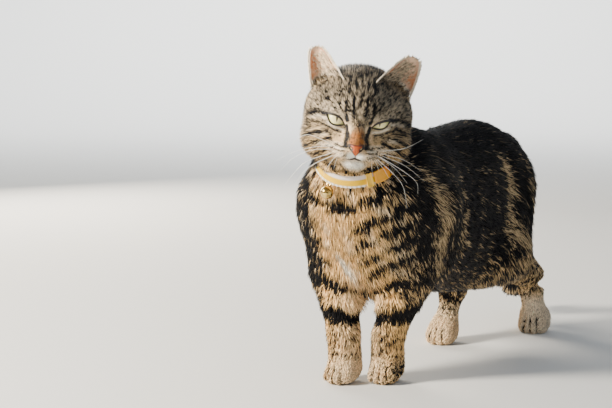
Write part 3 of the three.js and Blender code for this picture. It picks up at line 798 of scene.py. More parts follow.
# %% Laying things on the face
def lay_on_face(flat, height):
    """Points at a height above the skin of the face, from x and z in the head's frame."""
    flat = np.asarray(flat, float)
    depths = np.linspace(-64, -24, 161)
    grid = np.concatenate([np.insert(flat, 1, y, axis=1) for y in depths])
    inside = (head_form(grid) + FACE_DEPTH < 0).reshape(len(depths), -1)
    y = depths[inside.argmax(0)]
    return np.insert(flat, 1, y - height, axis=1)


NOSE_MIDDLE = np.array([0, -20.0])
NOSE_HALF = np.array([  # the right half of the outline, from the top to the foot
    (0, -16.2), (2.8, -15.7), (5.2, -15.5), (7.0, -16.5), (7.4, -18.1), (6.6, -19.7),
    (5.0, -21.3), (3.3, -22.8), (2.0, -24.3), (1.2, -25.5), (0, -26.0),
])
NOSTRIL_DIPS = [(3.5, -20.0, 1.15), (4.4, -19.2, 0.9), (4.9, -18.4, 0.6)]  # x, z and radius
NOSTRIL_SHADE = [(3.5, -20.1, 1.2), (4.5, -19.3, 1.0), (5.2, -18.5, 0.8)]


def nostrils(away, z, spots):
    """1 in the middle of each spot, falling off round it."""
    return sum(np.exp(-(((away - cx) ** 2 + (z - cz) ** 2) / reach**2)) for cx, cz, reach in spots)


def nose_arrays(rings=14, around=56):
    outline = np.concatenate([NOSE_HALF, (NOSE_HALF * [-1, 1])[-2:0:-1]])
    closed = np.vstack([outline, outline[:1]])
    run = np.concatenate([[0], np.cumsum(np.linalg.norm(np.diff(closed, axis=0), axis=1))])
    at = np.linspace(0, run[-1], around, endpoint=False)
    edge = np.column_stack([np.interp(at, run, closed[:, k]) for k in (0, 1)])
    edge = (np.roll(edge, 1, 0) + 2 * edge + np.roll(edge, -1, 0)) / 4
    layers = []
    for s in np.linspace(1, 0.07, rings):
        flat = NOSE_MIDDLE + (edge - NOSE_MIDDLE) * s
        away = np.abs(flat[:, 0])
        groove = np.exp(-((away / 0.5) ** 2)) * ramp(flat[:, 1], -20, -22)
        height = 0.5 + 1.9 * (1 - s**2.6) - 0.6 * groove - 1.5 * nostrils(away, flat[:, 1], NOSTRIL_DIPS)
        layers.append(lay_on_face(flat, height))
    back = layers[0] + [0, 4.0, 0]
    points = np.concatenate([back, *layers, [back.mean(0), layers[-1].mean(0)]])
    return from_head(points), close_ends(strip_faces(rings + 1, around), rings + 1, around)


nose_leather = mesh_piece("nose_leather", *nose_arrays())
recalculate(nose_leather)
apply_modifier(nose_leather, "SUBSURF", levels=1, render_levels=1)
nose_flat = to_head(points_of(nose_leather.data))
nostril = nostrils(np.abs(nose_flat[:, 0]), nose_flat[:, 2], NOSTRIL_SHADE)
wing = ramp(np.abs(nose_flat[:, 0]) - 0.54 * (nose_flat[:, 2] + 26), -0.2, 0.8)
brim = ramp(nose_flat[:, 2], -17.6, -16.6)
store(nose_leather.data, "Dark", np.clip(nostril + 0.95 * wing + 0.8 * brim, 0, 1))
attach(nose_leather, "root")
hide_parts("nose")

# %% The mouth
MOUTH = np.array([(0.2, -28.3), (2.2, -29.0), (4.8, -29.3), (7.8, -29.3), (10.6, -29.8)])
mouth_runs = []
for x_way in (1, -1):
    line = MOUTH * [x_way, 1]
    run = np.column_stack([np.interp(np.linspace(0, 4, 24), range(5), line[:, k]) for k in (0, 1)])
    thick = np.linspace(0.95, 0.5, 24) * MM
    mouth_runs.append(tube_arrays(from_head(lay_on_face(run, 0.35)), thick, 6))
groove = np.column_stack([np.zeros(10), np.linspace(-25.6, -28.8, 10)])
mouth_runs.append(tube_arrays(from_head(lay_on_face(groove, 0.3)), np.full(10, 0.42) * MM, 6))
mouth = mesh_piece("mouth_line", *join_arrays(mouth_runs))
recalculate(mouth)
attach(mouth, "root")
print("nose and mouth:", len(nose_leather.data.polygons) + len(mouth.data.polygons), "faces")

# %% [markdown]
# ## Toes
#
# A paw shows four toes. The front of each paw is divided more finely, and the furrows between
# the toes are pressed into it.

# %% Furrows between the toes
PAWS = {node: [np.array(corner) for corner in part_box(node)] for node in FLESH if "paw" in node}
TURNED = {"forepaw_left": 12, "hindpaw_left": 8}  # degrees; the right paws turn by 3
TOES_HIGH = 0.024


def near_box(points, low, high, margin=0.002):
    return ((points > low - margin) & (points < high + margin)).all(1)


middles = face_middles(skin.data)
by_paws = np.any([near_box(middles, *box) for box in PAWS.values()], axis=0)
divide_skin(by_paws & (middles[:, 2] < TOES_HIGH))


def furrows(points):
    """How deep each point lies in a furrow between toes, from 0 to 1."""
    deep = np.zeros(len(points))
    for node, (low, high) in PAWS.items():
        near = near_box(points, low, high)
        half = (high[0] - low[0]) / 2
        turned = math.radians(TURNED.get(node, 3))
        local = (points - [(low[0] + high[0]) / 2, low[1], 0]) / MM
        across = local[:, 0] * math.cos(turned) + (local[:, 1] - half / MM) * math.sin(turned)
        front = ramp(local[:, 1], 17, 9) * ramp(local[:, 2], 21, 13)
        for at in (-0.5, 0, 0.5):
            off = across - at * half / MM * (1 - 0.02 * np.clip(local[:, 2], 0, 14))
            furrow = front * np.exp(-((off / 1.25) ** 2))
            deep = np.where(near, np.maximum(deep, furrow), deep)
    return deep


places = points_of(skin.data)
edges = edges_of(skin.data)
places -= normals_of(skin.data) * (furrows(places) * 2.0 * MM)[:, None]
places = spread(places, edges, 1, 0.3 * (furrows(places) > 0.02))
move_points(skin.data, places)
print("skin with toes:", len(skin.data.polygons), "faces")

# %% [markdown]
# ## How the coat lies
#
# Every point of the skin gets a length of hair, how far the hair stands off the skin, and the
# way it is combed: away from the nose over the head, down the breast and the legs, backwards
# along the trunk, and towards the tips of the toes and the tail.

# %% What each point of the skin is
TAIL_LINE = [(-3, 139, 198), (-3, 167, 174), (-4, 185, 128), (-9, 195, 80), (-17, 213, 42), (-29, 243, 30)]


def along_line(points, line):
    """For each point, how far it is from a line of points, how far along, and the way on."""
    best, reach, way, done = np.full(len(points), 1e9), np.zeros(len(points)), np.zeros_like(points), 0
    for start, end in zip(np.array(line[:-1], float), np.array(line[1:], float)):
        step = end - start
        t = np.clip((points - start) @ step / (step @ step), 0, 1)
        off = np.linalg.norm(points - start - t[:, None] * step, axis=1)
        closer = off < best
        best[closer], reach[closer] = off[closer], done + t[closer] * np.linalg.norm(step)
        way[closer] = step / np.linalg.norm(step)
        done += np.linalg.norm(step)
    return best, reach, way


places = points_of(skin.data)
normals = normals_of(skin.data)
edges = edges_of(skin.data)
kind_of = KINDS[nearest_part(places)]
face = to_head(places)
mirrored = np.column_stack([np.abs(face[:, 0]), face[:, 1:]])
ear_side = np.zeros(len(places), int)  # 0 off the ears, then 1 and 2
crown = np.flatnonzero((face[:, 2] > 8) & (np.abs(face[:, 0]) > 8) & (kind_of == "head"))
above = head_form(face[crown])
for i, side in enumerate(SIDES):
    touching = nearness(places[crown], ear_surface[side], 3 * MM)
    ear_side[crown[(touching > 0.6) & (above > 1.0)]] = i + 1
kind_of = np.where(ear_side > 0, "ear", kind_of)
COAT["ear"] = (2.8, 12, 0)

inner_ear = np.zeros(len(places))
ear_height = np.zeros(len(places))
for i, side in enumerate(SIDES):
    up, wide, back = ear_frame(side)
    back_way = (back * MIRROR[side]) @ HEAD.T
    here = ear_side == i + 1
    inner_ear = np.where(here & (normals @ back_way < -0.15), 1.0, inner_ear)
    height = ((mirrored - EAR_BASE[side]) @ up) / (up @ up)
    ear_height = np.where(here, height, ear_height)
inner_ear = spread(inner_ear[:, None], edges, 1)[:, 0]

to_slit = np.full(len(places), 99.0)
for side, sign in SIDES.items():
    near = np.flatnonzero((face[:, 0] * sign > 2) & (face[:, 1] < -22) & (np.abs(face[:, 2] - 2) < 24))
    gaps = face[near][:, None, [0, 2]] - slit(side)[None]
    to_slit[near] = np.linalg.norm(gaps, axis=2).min(1)

# %% Combing
x, y, z = (places / MM).T
outward = np.clip((x - 3) / 45, -1, 1)
facing = ramp(-normals[:, 1], 0.15, 0.75)[:, None]
flat = np.ones(len(x))
trunk_flow = np.column_stack([0.15 * outward, flat, -0.45 * flat])
breast_flow = np.column_stack([0.45 * outward, 0.1 * flat, -flat])
flow = trunk_flow * (1 - facing) + breast_flow * facing
COMBED = {
    "shoulder": (0, 0.4, -1), "foreleg": (0, 0.2, -1), "forepaw": (0.15, -1, -0.6),
    "thigh": (0, 0.6, -1), "hindleg": (0, 0.15, -1), "hindpaw": (0.1, -1, -0.6),
}
for kind, way in COMBED.items():
    flow[kind_of == kind] = way
flow[(kind_of == "thigh") & (z < 72)] = (0, 0.15, -1)
on_front = (kind_of == "shoulder")[:, None] & (facing > 0.3)
flow = np.where(on_front, breast_flow, flow)
_, tail_reach, tail_way = along_line(places / MM, TAIL_LINE)
flow[kind_of == "tail"] = tail_way[kind_of == "tail"]
is_head = np.isin(kind_of, ["head", "nose"])
from_nose = face - [0, -46, -14]
from_nose /= np.linalg.norm(from_nose, axis=1)[:, None]
from_nose[:, 2] -= 0.35 * ramp(face[:, 2], 5, -20)  # the cheeks' hair droops
from_nose[:, 2] -= 1.2 * ramp(face[:, 2], -26, -32) * ramp(face[:, 1], -26, -36)  # and the chin's
flow[is_head] = from_nose[is_head] @ HEAD.T
ear_up = np.column_stack([0.35 * np.sign(face[:, 0]), 0 * flat, flat])
flow[kind_of == "ear"] = ear_up[kind_of == "ear"] @ HEAD.T
flow = spread(flow, edges, 12)
flow -= normals * (flow * normals).sum(1)[:, None]
flow /= np.maximum(np.linalg.norm(flow, axis=1), 1e-6)[:, None]

# %% Length and lift of the hair
hair = spread(np.array([COAT[kind][:2] for kind in kind_of], float), edges, 14)
length, lift = hair.T.copy()
to_muzzle = np.linalg.norm(face - [0, -44, -20], axis=1)
cheek = ramp(np.abs(face[:, 0]), 24, 38) * ramp(face[:, 2], 12, -8) * ramp(face[:, 1], -34, -18)
top = ramp(face[:, 2], 30, 42)
by_muzzle = 0.42 + 0.58 * ramp(to_muzzle, 12, 46)
by_eye = 0.35 + 0.65 * ramp(to_slit, 1.5, 9)
length = np.where(is_head, length * by_muzzle * by_eye * (1 + 0.45 * cheek + 0.7 * top), length)
chin = np.exp(-(np.linalg.norm(face - [0, -38, -40], axis=1) / 9) ** 2)
length += np.where(is_head, 2.5 * chin, 0)
length = np.where(kind_of == "ear", np.where(inner_ear > 0.5, 1.6, 2.6), length)
lift = np.where(is_head, lift + 10 * cheek * ramp(face[:, 2], 0, -20) + 8 * top, lift)
on_thigh = np.isin(kind_of, ["thigh", "rump"]) & (y > np.where(x > 0, 90, 35))
length = np.where(on_thigh, length * (0.5 + 0.5 * ramp(z, 78, 130)), length)
lift = np.where(on_thigh, lift * (0.6 + 0.4 * ramp(z, 78, 130)), lift)
by_hock = np.isin(kind_of, ["thigh", "hindleg"]) * ramp(z, 80, 66) * (y > 20)
length, lift = length - 1.5 * by_hock, lift * (1 - by_hock) + 9 * by_hock
between_legs = ramp(z, 66, 84) * ramp(z, 128, 106) * ramp(np.abs(x - 2), 24, 12) * ramp(y, -96, -110)
length, lift = length + 6 * between_legs, lift + 12 * between_legs
print("hair from", round(float(length.min()), 1), "to", round(float(length.max()), 1), "mm long")


# %% [markdown]
# ## Markings
#
# The coat is that of a striped tabby. The same four masks colour the skin and the hair: how
# black a place is, how warm its ground colour, how pale, and how rusty. They are drawn with
# named strokes and bands on the body: the dark lines on the forehead and cheeks, the necklace,
# the bars on the legs, the upright stripes on the flanks and the rings on the tail. Nowhere is
# a tabby all one colour: its ground is peppered, so the mask is about a third there, and each
# lock decides by chance whether it is a dark one.

# %% Smooth wandering, for edges that aren't ruled
def wander(points, size, seed, waves=7):
    """Smooth random values from about -1 to 1 that change over a given size in mm."""
    rng = np.random.default_rng(seed)
    total = np.zeros(len(points))
    for _ in range(waves):
        way = rng.normal(size=3)
        way *= 2 * np.pi / (size * rng.uniform(0.7, 1.6)) / np.linalg.norm(way)
        total += np.sin(points @ way + rng.uniform(0, 6.3))
    return total / math.sqrt(waves / 2) / 1.4


def bump_at(value, centre, half):
    return np.exp(-(((value - centre) / half) ** 2))


def lay_over(under, over, share):
    return under * (1 - share) + over * share


# %% Markings of the body
spots = places / MM
wide_wander, fine_wander = wander(spots, 60, 1), wander(spots, 14, 2)

LIGHT_BANDS = [  # on the flanks: place from front to back, half width, strength
    (-122, 13, 1.1), (-86, 5, 0.6), (-56, 6, 0.7), (-22, 5, 0.4), (12, 6, 0.4),
    (54, 11, 1.1), (94, 7, 0.6), (126, 6, 0.5), (156, 6, 0.5),
]
slanted = y + 0.16 * (z - 130) + 7 * wide_wander + 2.5 * fine_wander
light = sum(strength * bump_at(slanted, centre, half) for centre, half, strength in LIGHT_BANDS)
light *= 1 - 0.9 * ramp(z, 182, 210)
# Painted shade: skin that faces down under the trunk is set mostly dark (0.84), and it is also made warmer.
under = ramp(-normals[:, 2], 0.1, 0.7) * ramp(z, 128, 92)
black = 1.0 - 0.62 * np.clip(light, 0, 1.1)
black = lay_over(black, 0.84, under)
warm = 0.05 + 0.1 * np.clip(light, 0, 1) + 0.3 * under

# The breast is buff, with a dark necklace, streaks above it and slanting bars to the cat's left.
breast = ramp(-normals[:, 1], 0.2, 0.62) * ramp(y, -105, -135)
necklace_height = z - (168 + 0.0085 * (x - 2) ** 2) + 1.6 * fine_wander
necklace = 1.5 * bump_at(necklace_height, 0, 3.4)
streaks = 0.7 * ramp(necklace_height, 4, 11) * ramp(np.sin(x * 0.9 + 1.5 * fine_wander), 0.2, 0.95)
left_rise = z - 0.5 * (x - 24) + 2 * fine_wander
right_rise = z + 0.35 * (x + 20) + 2 * fine_wander
left_bars = 1.05 * sum(bump_at(left_rise, height, 2.9) for height in (152, 138, 124, 110)) * ramp(x, 4, 20)
right_bars = 0.75 * sum(bump_at(right_rise, height, 2.6) for height in (152, 132, 112)) * ramp(x, -16, -28)
rims = ramp(x, -26, -37) * 0.70 + ramp(x, 32, 48) * 0.45
breast_black = np.clip(0.13 + necklace + streaks + left_bars + right_bars + rims, 0, 1)
black = lay_over(black, breast_black, breast)
warm = lay_over(warm, 0.95 - 0.6 * ramp(np.abs(x - 2), 24, 46), breast)
WHITE_STREAK = [(-9, 122), (-4, 106), (3, 90), (8, 75), (9, 64)]  # x and z, down the breast
from_streak = along_line(np.column_stack([x, z]), WHITE_STREAK)[0]
pale = 1.1 * breast * bump_at(from_streak, 0, 2.8 + 0.07 * np.maximum(122 - z, 0)) * ramp(z, 138, 116)
pale = np.clip(np.maximum(pale, 0.3 * breast * ramp(fine_wander, 0.2, 1.2)), 0, 1)
black *= 1 - 0.9 * pale * breast

# Legs: bars that rise towards the outside, peppered outer sides and pale paws.
middle_of = {side: sum(corner.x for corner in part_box(f"foreleg_{side}")) / 2 / MM for side in SIDES}
out = np.where(x > 0, x - middle_of["left"], middle_of["right"] - x)
level = z - 0.46 * out + 2.0 * fine_wander
FORELEG_BARS = [  # height at the middle of the leg, half width, strength, rise towards the outside
    (91, 4.2, 1.6, 0.42), (62, 6.4, 1.2, 0.26),
    (47, 2.0, 0.40, 0.3), (39, 2.0, 0.42, 0.3), (31, 2.0, 0.36, 0.3),
]
leg_bars = sum(
    strength * bump_at(z - rise * out + 1.5 * fine_wander, centre, half)
    for centre, half, strength, rise in FORELEG_BARS
)
outer_side = ramp(out, 6, 18)
leg_dark = 0.20 + leg_bars + 0.42 * outer_side * ramp(z, 24, 44) + 0.25 * ramp(normals[:, 1], 0.3, 0.9)
# Painted shade: a dark patch low on the outer side of each forepaw.
leg_dark += 0.75 * bump_at(z, 14, 9) * bump_at(out, 9, 6) * (y < -60)
leg_dark = np.clip(leg_dark - 0.12 * ramp(-out, 4, 16), 0, 1)
low_front = np.isin(kind_of, ["foreleg", "forepaw", "shoulder", "chest"]) & (y < -60)
share = np.where(low_front, ramp(z, 106, 97) * ramp(y, -60, -90), 0)
black = lay_over(black, leg_dark, share)
warm = lay_over(warm, 0.95 - 0.45 * outer_side, share)
pale = np.maximum(pale * (1 - share), share * (0.2 * ramp(-out, -4, 14) + 0.16 * ramp(z, 34, 12)))

hind_bars = 0.5 + 0.5 * np.sin(level * 0.42 + 1.2 * wide_wander)
on_hind = np.where(np.isin(kind_of, ["thigh", "hindleg", "hindpaw"]), ramp(z, 112, 84), 0)
hind_dark = 0.34 + 0.34 * hind_bars * ramp(z, 24, 46)
hind_dark += 0.25 * ramp(-normals[:, 1], 0.3, 0.9) * ramp(z, 36, 60)
# Painted shade and light: the inner faces of the hind legs and all of the right hind leg are darker and
# have less pale feet, as if in shadow; the outer faces of the feet are painted paler, as if in light.
painted_shade_side = np.where(x < 0, 1, ramp(-normals[:, 0], 0.1, 0.7))  # and all of the right leg
hind_dark += 0.2 * painted_shade_side * ramp(z, 72, 58)
hind_dark *= 0.06 + 0.94 * ramp(z, 28 - 10 * painted_shade_side, 54 - 12 * painted_shade_side)
black = lay_over(black, np.clip(hind_dark, 0, 1), on_hind)
warm = lay_over(warm, 0.35 + 0.65 * ramp(z, 70, 40), on_hind)
pale = np.maximum(pale, on_hind * ramp(z, 56, 30) * (0.65 - 0.3 * painted_shade_side))
black = np.maximum(black, 0.75 * furrows(places))

# The tail: rings that close up towards a black tip.
on_tail = np.where(kind_of == "tail", 1.0, 0.0)
rings = ramp(np.sin(tail_reach * 0.30 + 0.8 * fine_wander), -0.35, 0.25)
tail_black = np.maximum(0.35 + 0.65 * rings, ramp(tail_reach, 175, 195))
black = lay_over(black, tail_black, on_tail)

# %% Markings of the head
HEAD_STROKES = [  # (half width, strength, x and z in the head's frame); each is mirrored
    (1.5, 1.1, [(4.4, 7), (5.4, 12), (5.6, 21)]), (1.3, 0.9, [(4.8, 26), (5.2, 36)]),
    (1.8, 1.15, [(10.0, 2), (11.2, 8), (11.0, 17)]), (1.6, 0.95, [(10.4, 23), (10.8, 36)]),
    (1.0, 0.85, [(0.6, 14), (0.8, 21)]), (1.0, 0.8, [(0.4, 27), (0, 40)]),
    (1.8, 0.75, [(16.5, 13), (18, 21)]), (1.8, 0.7, [(17.5, 27), (18, 36)]),
    (2.2, 0.6, [(25, 15), (29, 22)]),
    (1.9, 1.1, [(26, 6.2), (31, 5.6), (36, 3.6), (42, 0)]),
    (1.3, 0.85, [(13.5, -8.2), (19, -7.6), (26, -4.4), (32, -3.0), (40, -6)]),
    (1.7, 0.9, [(25, -10), (32, -11), (42, -16)]),
    (1.7, 0.9, [(21, -14.5), (30, -18), (42, -24)]),
    (2.2, 0.85, [(24, -25), (32, -30), (40, -32)]),
    (1.7, 1.2, [(10, -1.6), (9.2, -6), (8.6, -12)]),
    (2.3, 1.05, [(8.0, -8), (8.6, -13), (8.8, -18.5)]),
    (0.8, 0.95, [(11, -19.6), (16, -18.8), (22, -18.0)]),
    (0.8, 1.0, [(10, -22.6), (16, -22.2), (23, -21.6)]),
    (0.8, 0.95, [(10, -25.6), (16, -25.6), (22, -25.4)]),
]
flat_face = mirrored[:, [0, 2]]


def stroke(line, half):
    """A soft line over the face, drawn from in front."""
    return np.exp(-((along_line(flat_face, line)[0] / half) ** 2))


def blot(x_at, z_at, wide, high):
    """A soft oval on the face."""
    return np.exp(-(((flat_face[:, 0] - x_at) / wide) ** 2) - ((flat_face[:, 1] - z_at) / high) ** 2)


def darken(amount):
    """Makes the head at least this black."""
    head_black[:] = np.maximum(head_black, amount)


in_front = ramp(face[:, 1], -4, -16)
head_black = 0.50 + 0.06 * wander(face, 9, 5)
broken = 1.26 + 0.16 * wander(face, 7, 8)
head_black -= 0.12 * ramp(face[:, 2], 2, -8) * ramp(face[:, 1], -16, -34)
head_black -= 0.22 * blot(16, -20, 9, 8) + 0.16 * blot(14, 4, 5, 8)
for half, strength, points in HEAD_STROKES:
    darken(strength * broken * stroke(points, half) * lay_over(0.6, 1.0, in_front))
darken(0.78 * ramp(face[:, 1], -10, 8) * ramp(face[:, 2], 8, 30))
darken(0.84 * ramp(face[:, 2] + 3.5 * wander(face, 12, 7), 16, 44))
darken(0.8 * ramp(face[:, 1], 10, 26))
darken(0.72 * ramp(face[:, 2], -36, -40) * ramp(face[:, 1], -44, -34))

muzzle = np.clip(1.7 * blot(2.5, -26.2, 5.0, 2.6), 0, 1) * in_front
chin_pale = np.clip(1.7 * blot(2.5, -33.6, 6.2, 2.7), 0, 1) * in_front
whisker_bed = blot(15, -22.5, 7, 6) * in_front
inner_line = stroke([(12.6, 1.0), (7.6, -2.5), (6.4, -8)], 1.4) * in_front
tear_side = stroke([(11.6, -8), (11.2, -14)], 1.5) * in_front
outer_wedge = stroke([(28.5, 1.8), (33, 1.2), (37, -0.8)], 1.5) * in_front
lower_lid = stroke([(13, -6.2), (19, -5.0), (26, -1.2)], 1.1) * in_front
pads = in_front * sum(
    stroke([(10, row), (16, row + 0.3), (22, row + 0.8)], 0.7) for row in (-17.9, -21, -24.1, -27)
)
cheek_pale = (blot(26, -20, 6, 2.2) + blot(30, -12, 6, 2.0)) * in_front
head_pale = np.clip(
    muzzle + chin_pale + 0.4 * inner_line + 0.25 * tear_side + 0.45 * outer_wedge + 0.6 * lower_lid
    + 0.55 * cheek_pale + 0.35 * whisker_bed + 0.5 * pads + 0.2 * in_front * ramp(face[:, 2], 0, 8), 0, 1
)
head_black *= 1 - 0.95 * np.clip(muzzle + chin_pale, 0, 1)
lines_pale = inner_line + outer_wedge + lower_lid + tear_side + 0.9 * pads + 0.8 * cheek_pale
lines_pale = np.clip(lines_pale, 0, 1)
head_black *= 1 - 0.85 * lines_pale * (head_black < 0.85)
head_warm = 0.12 + 0.45 * ramp(face[:, 2], -4, -22)
head_warm = np.clip(head_warm + 0.5 * whisker_bed + 0.9 * inner_line + 0.6 * tear_side, 0, 1)
bridge_half = 4.7 - 0.20 * (face[:, 2] + 6) + 0.8 * wander(face, 5, 6)
head_rust = ramp(flat_face[:, 0], bridge_half + 1, bridge_half - 1) * in_front
head_rust *= ramp(face[:, 2], 1, -10) * ramp(face[:, 2], -17.8, -16)
head_black = lay_over(head_black, 0.36, head_rust)
share = spread(np.isin(kind_of, ["head", "nose", "ear"]).astype(float)[:, None], edges, 4)[:, 0]
black, warm = lay_over(black, head_black, share), lay_over(warm, head_warm, share)
pale = lay_over(pale, head_pale, share)
rust = head_rust * share

# Ears: peppered grey outside, pink skin and pale hair inside, and a bright buff rim.
on_ear = (ear_side > 0).astype(float)
soft_inner = spread(inner_ear[:, None], edges, 2)[:, 0]
ear_rim = np.clip(5 * soft_inner * (1 - soft_inner), 0, 1)
black = lay_over(black, 0.78 * (1 - inner_ear) * (1 - ear_rim), on_ear)
warm = lay_over(warm, 0.5 + 0.5 * ear_rim, on_ear)
pale = lay_over(pale, np.maximum(0.5 * inner_ear, 0.85 * ear_rim), on_ear)
rust = rust * (1 - on_ear)
black, warm, pale, rust = (np.clip(mask, 0, 1) for mask in (black, warm, pale, rust))
marks = np.column_stack([black, warm, pale, rust])
print("mean darkness of the coat:", round(float(black.mean()), 2))


# %% [markdown]
# ## Colour of hair and skin
#
# One node group turns the four masks into colour, and both the skin and the hair use it, so
# their markings agree. Along each hair the colour changes too: the root is dull, the middle has
# the clear buff band of a tabby's hair, and some hairs end in a dark tip.

# %% Node helpers
def put(tree, socket, value):
    if isinstance(value, bpy.types.NodeSocket):
        tree.links.new(value, socket)
    elif value is not None:
        socket.default_value = value


def math_node(tree, operation, a, b=None, c=None):
    node = tree.nodes.new("ShaderNodeMath")
    node.operation = operation
    for socket, value in zip(node.inputs, (a, b, c)):
        put(tree, socket, value)
    return node.outputs[0]


def plus(tree, a, b):
    return math_node(tree, "ADD", a, b)


def times(tree, a, b):
    return math_node(tree, "MULTIPLY", a, b)


def mix(tree, share, a, b, blend="MIX"):
    node = tree.nodes.new("ShaderNodeMix")
    node.data_type, node.blend_type = "RGBA", blend
    for socket, value in zip((node.inputs[0], node.inputs[6], node.inputs[7]), (share, a, b)):
        put(tree, socket, value)
    return node.outputs[2]


def scale_between(tree, value, low, high, to_low=0.0, to_high=1.0):
    node = tree.nodes.new("ShaderNodeMapRange")
    node.interpolation_type = "SMOOTHSTEP"
    for socket, v in zip(node.inputs, (value, low, high, to_low, to_high)):
        put(tree, socket, v)
    return node.outputs[0]


def attribute(tree, name):
    node = tree.nodes.new("ShaderNodeAttribute")
    node.attribute_name = name
    return node


def object_place(tree):
    return tree.nodes.new("ShaderNodeTexCoord").outputs["Object"]


def separated(tree, value, kind="Color"):
    """The channels of a colour or, with kind XYZ, the parts of a vector."""
    node = tree.nodes.new(f"ShaderNodeSeparate{kind}")
    put(tree, node.inputs[0], value)
    return node.outputs


def noise(tree, vector, scale, detail=2, roughness=0.5):
    node = tree.nodes.new("ShaderNodeTexNoise")
    settings = {"Vector": vector, "Scale": scale, "Detail": detail, "Roughness": roughness}
    for name, value in settings.items():
        put(tree, node.inputs[name], value)
    return node.outputs["Fac"]


def new_group(name, inputs, outputs):
    group = bpy.data.node_groups.new(name, "ShaderNodeTree")
    for label, kind in inputs.items():
        group.interface.new_socket(label, in_out="INPUT", socket_type=kind)
    for label, kind in outputs.items():
        group.interface.new_socket(label, in_out="OUTPUT", socket_type=kind)
    return group, group.nodes.new("NodeGroupInput"), group.nodes.new("NodeGroupOutput")


def use_group(tree, group, **inputs):
    node = tree.nodes.new("ShaderNodeGroup")
    node.node_tree = group
    for name, value in inputs.items():
        put(tree, node.inputs[name], value)
    return node


def new_material(name, **constants):
    """A material with constants on its shader's own sockets; returns it, its tree and the shader."""
    material = bpy.data.materials.new(name)
    material.use_nodes = True
    shader = material.node_tree.nodes["Principled BSDF"]
    for label, value in constants.items():
        shader.inputs[label.replace("_", " ")].default_value = value
    return material, material.node_tree, shader


def surface(tree, shader, color, roughness):
    put(tree, shader.inputs["Base Color"], color)
    put(tree, shader.inputs["Roughness"], roughness)


def relief(tree, shader, height, distance, strength):
    node = tree.nodes.new("ShaderNodeBump")
    node.inputs["Distance"].default_value = distance
    node.inputs["Strength"].default_value = strength
    put(tree, node.inputs["Height"], height)
    put(tree, shader.inputs["Normal"], node.outputs[0])


# %% The colours of a tabby
# BLACK has a faint blue cast, a painted reflection of the sky on the dark fur.
BLACK = (0.0045, 0.0043, 0.0060, 1)
GREY_BUFF = (0.55, 0.43, 0.27, 1)
WARM_BUFF = (0.96, 0.61, 0.25, 1)
CREAM = (1.0, 0.95, 0.83, 1)
RUST = (0.50, 0.19, 0.045, 1)
FLOAT, COLOR = "NodeSocketFloat", "NodeSocketColor"

tabby, given, made = new_group(
    "tabby_colour",
    {"Marks": COLOR, "Rust": FLOAT, "Along": FLOAT, "Chance": FLOAT},
    {"Color": COLOR},
)
dark, warmth, paleness = separated(tabby, given.outputs["Marks"])[:3]
along, chance = given.outputs["Along"], given.outputs["Chance"]
ground = mix(tabby, warmth, GREY_BUFF, WARM_BUFF)
ground = mix(tabby, paleness, ground, CREAM)
ground = mix(tabby, given.outputs["Rust"], ground, RUST)
root_share = math_node(tabby, "MAXIMUM", scale_between(tabby, along, 0.0, 0.6, 0.34, 1.0), paleness)
band = mix(tabby, 1.0, ground, root_share, "MULTIPLY")
light_hair = scale_between(tabby, chance, 0.16, 0.06)
stripe = mix(tabby, times(tabby, light_hair, times(tabby, along, 0.8)), BLACK, GREY_BUFF)
wavering = plus(tabby, dark, scale_between(tabby, chance, 0.1, 0.9, -0.40, 0.40))
tipped = plus(tabby, wavering, scale_between(tabby, along, 0.45, 1.0, -0.05, 0.09))
color = mix(tabby, scale_between(tabby, tipped, 0.43, 0.55), band, stripe)
tabby.links.new(color, made.inputs["Color"])


def tabby_color(tree, along, chance):
    """The colour of the coat at one place along a hair, from the masks that the mesh keeps."""
    masks = attribute(tree, "Marks")
    color, rust = masks.outputs["Color"], masks.outputs["Alpha"]
    return use_group(tree, tabby, Marks=color, Rust=rust, Along=along, Chance=chance).outputs["Color"]


def coat_material(name):
    """Hair: the tabby's colour, with a soft sheen along each lock."""
    sheen = {"Specular_IOR_Level": 0.14, "Sheen_Weight": 0.01, "Sheen_Roughness": 0.45}
    material, tree, shader = new_material(name, **sheen)
    along, chance, brightness = separated(tree, attribute(tree, "Strand").outputs["Color"])[:3]
    shade = scale_between(tree, brightness, 0, 1, 0.68, 1.3)
    colour = mix(tree, 1.0, tabby_color(tree, along, chance), shade, "MULTIPLY")
    surface(tree, shader, colour, scale_between(tree, along, 0, 1, 0.75, 0.45))
    return material


def skin_material(name):
    """The skin shows between the locks: the same markings, dulled, with the grain of short fur."""
    radius = (0.004, 0.0015, 0.001)
    material, tree, shader = new_material(name, Subsurface_Weight=0.05, Subsurface_Radius=radius)
    spot = object_place(tree)
    grain = noise(tree, spot, 1400, 3, 0.6)
    along = scale_between(tree, grain, 0.3, 0.7, 0.2, 0.7)
    colour = tabby_color(tree, along, scale_between(tree, grain, 0.3, 0.7, 0.15, 0.85))
    bare = attribute(tree, "Bare").outputs["Fac"]
    veins = scale_between(tree, noise(tree, spot, 60, 3), 0.4, 0.65)
    flesh = mix(tree, veins, (0.62, 0.22, 0.09, 1), (0.86, 0.58, 0.38, 1))
    surface(tree, shader, mix(tree, bare, colour, flesh), scale_between(tree, bare, 0, 1, 0.85, 0.6))
    relief(tree, shader, grain, 0.0006, 0.5)
    return material


skin.data.materials.clear()
skin.data.materials.append(skin_material("skin_and_underfur"))
skin.data.polygons.foreach_set("material_index", [0] * len(skin.data.polygons))
store(skin.data, "Marks", marks, "FLOAT_COLOR")
store(skin.data, "Bare", ramp(soft_inner, 0.75, 0.98))
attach(skin, "root")
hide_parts(*[node for node in FLESH if node != "nose"], *EARS)

# %% [markdown]
# ## Wet and bare surfaces
#
# The eye is drawn in rings round the pupil, under a clear gloss that stands for the cornea. Nose
# leather is damp and finely pebbled; the lids and the lips are almost black.

